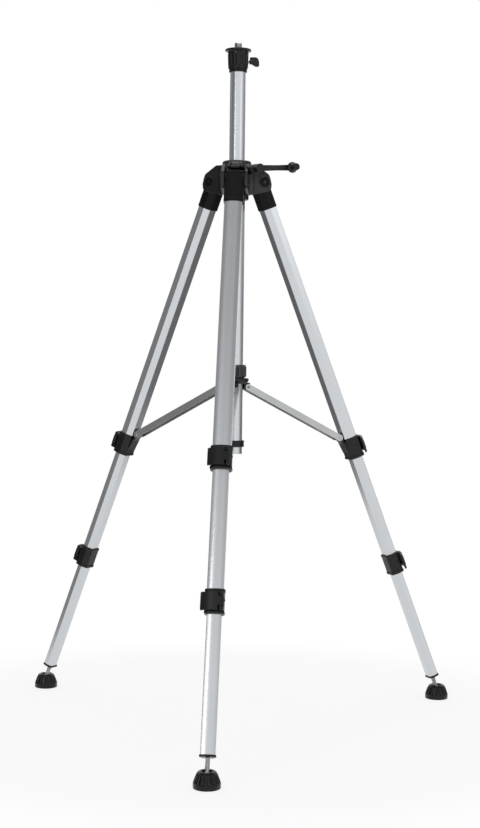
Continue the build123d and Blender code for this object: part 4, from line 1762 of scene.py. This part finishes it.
@dataclass
class Clamp:
    """Leg clamp with its flip lever, in the leg's own frame."""

    section: LegSection
    station: float
    tube_growth: float
    inner_growth: float
    height: float = 47.0
    wall: float = 2.4
    tube_past: float = 8.0
    hinge_offset: float = 13.0
    hinge_rise: float = 6.0
    hinge_barrel: float = 5.0
    knuckle: float = 18.0
    lever_height: float = 34.0
    lever_shift: float = -1.5
    lever_plate: float = 4.6
    lever_bow: float = 10.2
    lever_middle: float = 6.0
    lever_tip: float = 26.0
    lever_tip_rise: float = 1.0
    hinge_pin: float = 2.05
    ridges: int = 3
    ridge_half: float = 9.0
    ridge_radius: float = 0.9

    @property
    def face(self) -> float:
        """Distance of the clamp's outer face from the leg's axis."""
        return self.section.depth + self.tube_growth + self.wall

    def hinge(self) -> Matrix:
        """Return the place of the lever's hinge, along the leg."""
        return move(-self.hinge_offset, self.face + self.hinge_rise, self.lever_shift - self.station)

    def sleeve(self) -> Form:
        """Shape the clamp's moulded sleeve with its rims and lower ring.

        Returns:
            The sleeve.
        """
        top, low = self.station - self.height / 2, self.height
        outer = self.tube_growth + self.wall
        profile = [
            (0.0, self.tube_growth + SLIP_GAP),
            (0.0, outer - 0.2),
            (0.6, outer + 0.6),
            (1.4, outer + 1.0),
            (3.8, outer + 1.0),
            (4.6, outer + 0.5),
            (5.4, outer),
            (self.height / 2 + 0.5, outer),
            (self.height / 2 + 1.3, outer),
            (low - 7.8, outer),
            (low - 7.3, outer - 0.4),
            (low - 6.7, outer - 0.4),
            (low - 6.0, outer + 0.5),
            (low - 4.6, outer + 1.0),
            (low - 2.0, outer + 1.0),
            (low - 0.6, outer + 0.4),
            (low, outer - 0.8),
            (low, self.inner_growth + RUN_GAP),
            (self.height / 2 + self.tube_past, self.inner_growth + RUN_GAP),
            (self.height / 2 + self.tube_past, self.tube_growth + SLIP_GAP),
        ]
        return self.section.sleeve([(top + down, growth) for down, growth in profile])

    def knuckles(self) -> Form:
        """Shape the hinge's ears on the clamp, with the pin's ends.

        Returns:
            The ears.
        """
        ears = Form()
        radius = self.hinge_barrel - 0.5
        for side in (-1, 1):
            ends = sorted((side * (self.knuckle / 2 + RUN_GAP), side * self.lever_height / 2))
            ear = Form.lathe(
                [
                    (0, ends[0]),
                    (radius - 0.5, ends[0]),
                    (radius, ends[0] + 0.5),
                    (radius, ends[1] - 0.5),
                    (radius - 0.5, ends[1]),
                    (0, ends[1]),
                ],
                40,
            )
            foot = Form.slab((-radius, radius), (-self.hinge_rise - 3.0, 0.0), (ends[0] + 0.2, ends[1] - 0.2))
            ears.join(ear).join(foot.soften(0.5, 2))
            head = dome_head(2.4, 0.8, self.lever_height / 2)
            ears.join(head if side > 0 else head.moved(turn(180, "X")))
        return ears.moved(self.hinge())

    def lever(self) -> Form:
        """Shape the bowed flip lever with its hinge barrel and finger ribs.

        Returns:
            The lever.
        """
        face, thick = self.face, self.lever_plate
        height = face + self.hinge_rise
        tip = face + self.lever_tip_rise
        crest = (self.lever_middle, face + self.lever_bow)
        outside = arc_through(
            (-self.hinge_offset, height + self.hinge_barrel), crest, (self.lever_tip, tip), 16
        )
        inside = arc_through(
            (self.lever_tip, tip - thick),
            (crest[0], crest[1] - thick),
            (-self.hinge_offset + self.hinge_barrel * 0.6, height + 0.6),
            14,
        )
        low = self.lever_shift - self.station - self.lever_height / 2
        high = low + self.lever_height
        plate = Form.prism(outside + inside, low, high)

        def at_tip(spot: Vector) -> bool:
            """Tell whether an edge's middle lies at a corner of the free tip."""
            return abs(spot.x - self.lever_tip) < 0.2 and min(abs(spot.z - low), abs(spot.z - high)) < 0.2

        plate.soften(5.0, 5, 60.0, at_tip)
        plate.soften(0.8, 3, 48.0)
        self.trim_hinge(plate, self.hinge_barrel + 0.9, low, high)
        barrel, pin, half = self.hinge_barrel, self.hinge_pin, self.knuckle / 2
        eye = Form.lathe(
            [
                (pin, -half),
                (barrel - 0.5, -half),
                (barrel, -half + 0.5),
                (barrel, half - 0.5),
                (barrel - 0.5, half),
                (pin, half),
            ],
            48,
            True,
        )
        plate.join(eye, self.hinge())
        end, radius = self.ridge_half, self.ridge_radius
        outline = [(0, -end), (radius - 0.3, -end), (radius, 0.6 - end)]
        outline += [(radius, end - 0.6), (radius - 0.3, end), (0, end)]
        for step in range(self.ridges):
            share = 11 + step * 1.5
            first = Vector(outside[int(share)])
            second = Vector(outside[int(share) + 1])
            along = (second - first).normalized()
            out = Vector((-along.y, along.x))
            out = out if out.y > 0 else -out
            spot = first.lerp(second, share % 1.0) - out * 0.3
            plate.join(Form.lathe(outline, 12), move(spot.x, spot.y, (low + high) / 2))
        return plate

    def trim_hinge(self, plate: Form, bite: float, low: float, high: float) -> None:
        """Cut the plate's hinge corners away so that the ears have room.

        Args:
            plate: The lever's plate.
            bite: Width of each cut from the hinge's line.
            low: Lower end of the plate.
            high: Upper end of the plate.
        """
        side = -self.hinge_offset + bite
        margin = (self.lever_height - self.knuckle) / 2 + RUN_GAP
        levels = (low + margin, high - margin)
        mesh = plate.bm
        for axis, place in ((0, side), (2, levels[0]), (2, levels[1])):
            facing = Vector([float(axis == number) for number in range(3)])
            everything = mesh.verts[:] + mesh.edges[:] + mesh.faces[:]
            bmesh.ops.bisect_plane(mesh, geom=everything, plane_co=facing * place, plane_no=facing)
        spare = []
        for face in mesh.faces:
            spot = face.calc_center_median()
            if spot.x < side and not levels[0] < spot.z < levels[1]:
                spare.append(face)
        bmesh.ops.delete(mesh, geom=spare, context="FACES")
        for level in levels:
            corner = [vert for vert in mesh.verts if abs(vert.co.x - side) + abs(vert.co.z - level) < 0.001]
            mesh.edges.new(corner)
        for axis, place in ((0, side), (2, levels[0]), (2, levels[1])):
            rim = [
                edge
                for edge in mesh.edges
                if len(edge.link_faces) < 2 and all(abs(vert.co[axis] - place) < 0.001 for vert in edge.verts)
            ]
            bmesh.ops.edgeloop_fill(mesh, edges=rim)
        plate.sealed()


@dataclass
class Leg:
    """One folding leg: hinge bracket, three tubes, two clamps, spreader arm and swivel foot."""

    letter: str
    azimuth: float
    crown: Crown
    spreader: Spreader
    section: LegSection = LegSection()
    tilt: float = 22.7
    length: float = 1190.0
    socket_end: float = 56.0
    bracket_head: float = 14.0
    eye_radius: float = 14.0
    eye_bore: float = 6.05
    tube_seat: float = 24.0
    mid_growth: float = -2.4
    low_growth: float = -4.3
    clamp_one: float = 599.0
    clamp_two: float = 877.0
    lug_station: float = 567.0
    lug_inset: float = 24.4
    lug_half: float = 9.5
    lug_nose: float = 4.5
    notch_depth: float = 24.0
    plug_top: float = 1154.0
    plug_flange: float = 4.2
    rod: float = 4.5
    rod_pitch: float = 1.5
    ball: float = 7.0
    ball_height: float = 22.0
    foot_radius: float = 25.2
    foot_band: float = 9.5
    foot_shoulder: float = 18.4
    foot_shoulder_height: float = 27.2
    foot_top: float = 15.0
    foot_height: float = 30.5
    foot_flutes: int = 16
    foot_flute_depth: float = 1.7
    foot_mouth: float = 12.2

    def place(self) -> Matrix:
        """Return the leg's place: origin at the pivot, -Z down the leg, +Y outwards."""
        pivot = move(0, self.crown.pivot_radius, self.crown.pivot_height)
        return around(self.azimuth) @ pivot @ turn(self.tilt, "X")

    def name(self, piece: str) -> str:
        """Return a name that carries the leg's letter."""
        return "leg_" + self.letter + "_" + piece

    def build(self, bench: Bench) -> None:
        """Build the leg from its bracket down to its foot.

        Args:
            bench: Where pieces are made.
        """
        drawn = bench.finishes.tube("leg_" + self.letter, self.place())
        for tube in ("upper_tube", "mid_tube", "low_tube"):
            bench.dress(self.name(tube), drawn)
        self.build_bracket(bench)
        self.build_clamps(bench)
        self.build_arm(bench)
        self.build_end(bench)
        self.build_foot(bench)

    def build_bracket(self, bench: Bench) -> None:
        """Build the hinge bracket: a socket with a grooved lower edge and a rounded eye.

        Args:
            bench: Where pieces are made.
        """
        end, seat, head = self.socket_end, self.tube_seat, self.bracket_head
        profile = [
            (seat - 2.0, SLIP_GAP),
            (end, SLIP_GAP),
            (end, 1.0),
            (end - 0.6, 1.8),
            (end - 1.6, 2.0),
            (end - 7.0, 2.0),
            (end - 7.6, 1.6),
            (end - 8.4, 1.6),
            (end - 9.0, 2.0),
            (seat + 6.0, 2.0),
            (3.4 - head, 2.0),
            (1.6 - head, 1.6),
            (0.4 - head, 0.6),
            (-head, -1.0),
        ]
        bracket = self.section.sleeve(profile, closed=False)
        wide = self.section.width / 2
        radius, bore, side = self.eye_radius, self.eye_bore, wide + 2.0
        eye = Form.lathe(
            [
                (bore, -side),
                (radius - 0.8, -side),
                (radius, 0.8 - side),
                (radius, side - 0.8),
                (radius - 0.8, side),
                (bore, side),
            ],
            64,
            True,
        )
        bracket.join(eye, ACROSS)
        bracket.moved(self.place())
        name, black = self.name, bench.finishes.bracket
        bench.piece(bracket, name("socket"), name("upper"), Slot.PLASTIC, black, [name("bracket")])

    def build_clamps(self, bench: Bench) -> None:
        """Build both clamps and their levers.

        Args:
            bench: Where pieces are made.
        """
        plastic = bench.finishes.plastic
        upper = Clamp(self.section, self.clamp_one, 0.0, self.mid_growth)
        lower = Clamp(self.section, self.clamp_two, self.mid_growth, self.low_growth)
        for clamp, part in ((upper, "upper"), (lower, "mid")):
            sleeve = clamp.sleeve()
            if clamp is upper:
                self.cut_notch(sleeve, clamp)
                sleeve.join(self.lug(clamp))
            sleeve.join(clamp.knuckles())
            for flip in (180.0, 0.0):
                screw = socket_head(2.2, 1.2, self.section.width / 2 + clamp.tube_growth + clamp.wall - 0.3)
                sleeve.join(screw, move(0, 3.5, -clamp.station + 4.0) @ turn(flip, "Z") @ ACROSS)
            bench.piece(
                sleeve.moved(self.place()),
                self.name(part + "_clamp_body"),
                self.name(part),
                Slot.PLASTIC,
                plastic,
                [self.name(part + "_clamp")],
            )
            bench.piece(
                clamp.lever().moved(self.place()),
                self.name(part + "_flip_lever"),
                self.name(part + "_flip"),
                Slot.PLASTIC,
                plastic,
                [self.name(part + "_lever")],
            )

    def cut_notch(self, sleeve: Form, clamp: Clamp) -> None:
        """Thin the inner wall's upper half where the spreader arm swings in.

        Args:
            sleeve: The clamp's sleeve.
            clamp: The clamp.
        """
        floor = -(clamp.station - clamp.height / 2 + self.notch_depth + 0.1)
        wall = -self.section.depth - 0.6
        for vert in sleeve.bm.verts:
            if vert.co.z > floor and vert.co.y < wall:
                vert.co.y = wall

    def lug(self, clamp: Clamp) -> Form:
        """Shape the curved gusset that carries the spreader arm's outer end.

        Args:
            clamp: The upper clamp.

        Returns:
            The gusset, in the leg's own frame.
        """
        wall = -self.section.depth - 1.2
        root = clamp.station - clamp.height / 2 + self.notch_depth
        heel = -root - 9.0
        nose = self.lug_nose
        under = arc_through(
            (wall - 2.2, heel),
            (wall - 4.2, -(root + self.lug_station) / 2 - 3.0),
            (-self.lug_inset - nose, -self.lug_station - 1.0),
            8,
        )
        round_end = arc_through(
            (-self.lug_inset - nose, -self.lug_station),
            (-self.lug_inset, -self.lug_station + nose),
            (-self.lug_inset + nose, -self.lug_station),
            8,
        )
        profile = [(wall, -root), (wall, heel)] + under + round_end
        profile.append((wall - 1.0, -self.lug_station - nose))
        gusset = Form.plate(profile, -self.lug_half, self.lug_half).soften(0.5, 2, 50.0)
        brow = -(clamp.station - clamp.height / 2 + 5.0)
        swell = arc_through((wall - 1.6, heel), (wall - 3.4, -root + 4.0), (wall - 5.2, brow), 6)
        flank = [(wall + 0.6, brow), (wall + 0.6, heel)] + swell
        half = self.lug_half + 2.7
        return gusset.join(Form.plate(flank, -half, half).soften(0.6, 2, 50.0))

    def build_arm(self, bench: Bench) -> None:
        """Dress the spreader arm and build its outer rivets, and black plugs of painted shade in their holes.

        Args:
            bench: Where pieces are made.
        """
        crown, hub = self.crown, self.spreader
        tilt = math.radians(self.tilt)
        lug_radius = crown.pivot_radius + self.lug_station * math.sin(tilt) - self.lug_inset * math.cos(tilt)
        lug_height = crown.pivot_height - self.lug_station * math.cos(tilt) - self.lug_inset * math.sin(tilt)
        drop = math.degrees(math.atan2(hub.pin_height - lug_height, lug_radius - hub.pin_radius))
        along = around(self.azimuth) @ turn(-drop, "X")
        bench.dress(self.name("spreader_arm"), bench.finishes.strip("arm_" + self.letter, along))
        rivets, painted_hole_shade = Form(), Form()
        place = around(self.azimuth) @ move(0, lug_radius, lug_height) @ ACROSS
        for flip in (0.0, 180.0):
            facing = place @ turn(flip, "Y")
            rivets.join(rivet_ring(hub.rivet, hub.arm_half), facing)
            # black plug in each rivet hole: painted shade
            painted_hole_shade.join(rivet_hole_painted_shade(hub.rivet, hub.arm_half + 1.0), facing)
        steel, coated = bench.finishes.steel, bench.finishes.casting
        bench.piece(rivets, self.name("arm_rivets"), self.name("brace"), Slot.STEEL, steel)
        bench.piece(painted_hole_shade, self.name("arm_rivet_hollows"), self.name("brace"), Slot.CASTING, coated)

    def build_end(self, bench: Bench) -> None:
        """Build the end plug and the threaded foot rod with its ball.

        Args:
            bench: Where pieces are made.
        """
        grown = self.low_growth + 1.5
        top, thick = self.plug_top, self.plug_flange
        plug = self.section.sleeve(
            [
                (top - 22.0, self.low_growth - 2.2),
                (top - 21.0, self.low_growth - 1.55),
                (top, self.low_growth - 1.55),
                (top + 0.05, grown - 0.6),
                (top + 0.7, grown),
                (top + thick - 0.7, grown),
                (top + thick, grown - 0.8),
            ],
            closed=False,
        )
        name, plastic, steel = self.name, bench.finishes.plastic, bench.finishes.steel
        plug.moved(self.place())
        bench.piece(plug, name("end_cap"), name("low"), Slot.PLASTIC, plastic, [name("end_plug")])
        rod = Form.thread(self.rod, self.rod - 0.65, self.rod_pitch, -self.length, -top)
        angles = [math.radians(angle) for angle in range(-90, 91, 10)]
        ball = [(self.ball * math.cos(angle), -self.length + self.ball * math.sin(angle)) for angle in angles]
        rod.join(Form.lathe([(0.0, ball[0][1])] + ball[1:-1] + [(0.0, ball[-1][1])], 40))
        rod.moved(self.place())
        bench.piece(rod, name("threaded_rod"), name("low"), Slot.STEEL, steel, [name("foot_rod")])

    def build_foot(self, bench: Bench) -> None:
        """Build the fluted rubber foot with its socket for the ball.

        Args:
            bench: Where pieces are made.
        """
        band, shoulder = self.foot_band, self.foot_shoulder_height
        socket, level = self.ball + 0.2, self.ball_height
        wall = []
        for step in range(9):
            share = step / 8
            radius = self.foot_radius + (self.foot_shoulder - self.foot_radius) * share
            wall.append((radius + 0.4 * math.sin(math.pi * share), band + (shoulder - band) * share))
        foot = Form.lathe(
            [
                (0, 1.2),
                (self.foot_radius - 9.0, 1.2),
                (self.foot_radius - 8.4, 0.0),
                (self.foot_radius - 1.6, 0.0),
                (self.foot_radius - 0.4, 0.6),
                (self.foot_radius, 2.0),
            ]
            + wall
            + [
                (self.foot_top + 1.6, self.foot_height - 1.0),
                (self.foot_top, self.foot_height),
                (self.foot_mouth, self.foot_height),
                (self.foot_mouth - 0.5, self.foot_height - 0.6),
                (socket - 0.6, level + 1.6),
                (socket, level),
                (socket - 2.0, level - 5.0),
                (0, level - socket),
            ],
            self.foot_flutes * 9,
        )
        outside = self.foot_mouth + 1.8
        foot.flute(self.foot_flutes, self.foot_flute_depth, band + 1.0, shoulder - 1.0, outside)
        reach = self.crown.pivot_radius + self.length * math.sin(math.radians(self.tilt))
        foot.moved(around(self.azimuth) @ move(0, reach, 0))
        name, rubber = self.name, bench.finishes.rubber
        bench.piece(foot, name("rubber_foot"), name("swivel"), Slot.RUBBER, rubber, [name("foot")])


@dataclass(frozen=True)
class Lamp:
    """A soft lamp, wide by tall, that looks at a point."""

    name: str
    place: Triple
    target: Triple
    wide: float
    tall: float
    power: float

    def build(self) -> None:
        """Hang the lamp."""
        light = bpy.data.lights.new(self.name, "AREA")
        light.shape = "RECTANGLE"
        light.size = self.wide
        light.size_y = self.tall
        light.energy = self.power
        lamp = bpy.data.objects.new(self.name, light)
        bpy.context.scene.collection.objects.link(lamp)
        away = Vector(self.place) - Vector(self.target)
        lamp.matrix_world = Matrix.Translation(self.place) @ away.to_track_quat("Z", "Y").to_matrix().to_4x4()


@dataclass(frozen=True)
class Flag:
    """A card that dims the surroundings about a direction.

    The cosine of the angle from that direction tells where it starts and where it dims in full.
    """

    direction: Triple
    start: float
    full: float
    level: float


@dataclass
class Studio:
    """Floor, surroundings, lamps and the camera."""

    floor_radius: float = 0.95
    floor_colour: Colour = (0.93, 0.93, 0.93)
    floor_glow: float = 0.82
    floor_fade: Point = (0.6, 0.97)
    sky: tuple[Point, ...] = ((-1.0, 1.0), (0.56, 1.0), (0.7, 0.47), (0.82, 0.34), (1.0, 0.3))
    flags: tuple[Flag, ...] = (
        Flag((-0.87, -0.49, 0.0), 0.8, 0.95, 0.26),
        Flag((-0.74, 0.62, -0.26), 0.83, 0.94, 0.16),
        Flag((0.74, 0.62, -0.26), 0.83, 0.94, 0.16),
        Flag((-0.97, 0.24, 0.0), 0.86, 0.97, 0.4),
        Flag((-0.53, -0.85, 0.0), 0.95, 0.99, 0.35),
        Flag((0.98, 0.2, 0.0), 0.87, 0.97, 0.5),
        Flag((0.72, -0.39, 0.58), 0.88, 0.975, 0.5),
        Flag((-0.81, -0.27, 0.53), 0.88, 0.975, 0.45),
    )
    eye: Triple = (0.254685, -3.243316, 0.7916)
    ahead: Triple = (-0.07431632, 0.99615425, -0.04640908)
    upward: Triple = (-0.01571802, 0.04536192, 0.99884696)
    focal_pixels: float = 1568.0
    image_height: float = 828.0
    film: float = 36.0
    lamps: tuple[Lamp, ...] = (
        Lamp("overhead", (0.0, 0.1, 2.9), (0.0, 0.0, 0.6), 1.8, 1.8, 22.0),
        Lamp("side", (2.1, -1.35, 1.6), (0.0, 0.0, 0.9), 1.0, 1.0, 1.5),
        Lamp("front", (-1.26, -2.16, 1.05), (0.0, 0.0, 0.8), 0.36, 1.3, 5.2),
    )

    def build(self) -> None:
        """Build the whole studio."""
        self.build_floor()
        self.build_surroundings()
        for lamp in self.lamps:
            lamp.build()
        self.build_camera()
        bpy.context.scene.view_settings.view_transform = "Standard"

    def build_floor(self) -> None:
        """Lay a round pale floor that keeps the shadow."""
        form = Form()
        bmesh.ops.create_circle(form.bm, cap_ends=True, segments=128, radius=self.floor_radius)
        mesh = bpy.data.meshes.new("floor")
        form.bm.to_mesh(mesh)
        form.bm.free()
        mesh.materials.append(self.floor_material())
        floor = bpy.data.objects.new("floor", mesh)
        bpy.context.scene.collection.objects.link(floor)

    def floor_material(self) -> bpy.types.Material:
        """Build a matt floor that mostly glows white where it is seen, and wholly so at its rim.

        Returns:
            The material.
        """
        made = bpy.data.materials.new("pale_floor")
        made.use_nodes = True
        tree = made.node_tree
        tree.nodes.clear()
        diffuse = tree.nodes.new("ShaderNodeBsdfDiffuse")
        diffuse.inputs["Color"].default_value = (*self.floor_colour, 1.0)
        glow = tree.nodes.new("ShaderNodeEmission")
        path = tree.nodes.new("ShaderNodeLightPath")
        seen = path.outputs["Is Camera Ray"]
        for ray in ("Is Glossy Ray", "Is Transmission Ray"):
            either = tree.nodes.new("ShaderNodeMath")
            either.operation = "MAXIMUM"
            tree.links.new(seen, either.inputs[0])
            tree.links.new(path.outputs[ray], either.inputs[1])
            seen = either.outputs[0]
        coords = tree.nodes.new("ShaderNodeTexCoord")
        away = tree.nodes.new("ShaderNodeVectorMath")
        away.operation = "LENGTH"
        tree.links.new(coords.outputs["Object"], away.inputs[0])
        ends = (self.floor_fade[0] * self.floor_radius, self.floor_fade[1] * self.floor_radius)
        fade = add_range(tree, away.outputs["Value"], ends, (self.floor_glow, 1.0), eased=True)
        share = tree.nodes.new("ShaderNodeMath")
        share.operation = "MULTIPLY"
        tree.links.new(seen, share.inputs[0])
        tree.links.new(fade, share.inputs[1])
        blend = tree.nodes.new("ShaderNodeMixShader")
        tree.links.new(share.outputs[0], blend.inputs["Fac"])
        tree.links.new(diffuse.outputs[0], blend.inputs[1])
        tree.links.new(glow.outputs[0], blend.inputs[2])
        out = tree.nodes.new("ShaderNodeOutputMaterial")
        tree.links.new(blend.outputs[0], out.inputs["Surface"])
        return made

    def build_surroundings(self) -> None:
        """Surround the object with white that is greyer overhead and behind the flags."""
        world = bpy.data.worlds.new("studio")
        bpy.context.scene.world = world
        world.use_nodes = True
        tree = world.node_tree
        coords = tree.nodes.new("ShaderNodeTexCoord")
        parts = tree.nodes.new("ShaderNodeSeparateXYZ")
        tree.links.new(coords.outputs["Generated"], parts.inputs["Vector"])
        height = add_range(tree, parts.outputs["Z"], (-1.0, 1.0), (0.0, 1.0))
        ramp = tree.nodes.new("ShaderNodeValToRGB")
        while len(ramp.color_ramp.elements) < len(self.sky):
            ramp.color_ramp.elements.new(0.5)
        for element, (sine, level) in zip(ramp.color_ramp.elements, self.sky):
            element.position = (sine + 1.0) / 2.0
            element.color = (level, level, level, 1.0)
        tree.links.new(height, ramp.inputs["Fac"])
        colour = ramp.outputs["Color"]
        for flag in self.flags:
            toward = tree.nodes.new("ShaderNodeVectorMath")
            toward.operation = "DOT_PRODUCT"
            toward.inputs[1].default_value = flag.direction
            tree.links.new(coords.outputs["Generated"], toward.inputs[0])
            ends = (flag.start, flag.full)
            share = add_range(tree, toward.outputs["Value"], ends, (1.0, flag.level), eased=True)
            dimmed = tree.nodes.new("ShaderNodeVectorMath")
            dimmed.operation = "SCALE"
            tree.links.new(colour, dimmed.inputs[0])
            tree.links.new(share, dimmed.inputs["Scale"])
            colour = dimmed.outputs["Vector"]
        tree.links.new(colour, tree.nodes["Background"].inputs["Color"])

    def build_camera(self) -> None:
        """Set the camera where the photograph was taken from."""
        data = bpy.data.cameras.new("camera")
        data.sensor_width = self.film
        data.lens = self.focal_pixels / self.image_height * self.film
        camera = bpy.data.objects.new("camera", data)
        bpy.context.scene.collection.objects.link(camera)
        ahead, upward = Vector(self.ahead), Vector(self.upward)
        side = ahead.cross(upward)
        axes = Matrix((side, upward, -ahead)).transposed().to_4x4()
        camera.matrix_world = Matrix.Translation(self.eye) @ axes
        bpy.context.scene.camera = camera


def main() -> None:
    """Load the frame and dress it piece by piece."""
    logging.basicConfig(level=logging.INFO, format="%(message)s")
    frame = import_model()
    bench = Bench(frame["nodes"], Finishes())
    azimuths = {"a": -90.0, "b": 30.0, "c": 150.0}
    Studio().build()
    crown = Crown(tuple(azimuths.values()))
    crown.build(bench)
    Column(crown).build(bench)
    Head().build(bench)
    Level(crown).build(bench)
    Crank(crown).build(bench)
    spreader = Spreader(tuple(azimuths.values()))
    spreader.build(bench)
    for letter, azimuth in azimuths.items():
        Leg(letter, azimuth, crown, spreader).build(bench)


if __name__ == "__main__":
    main()
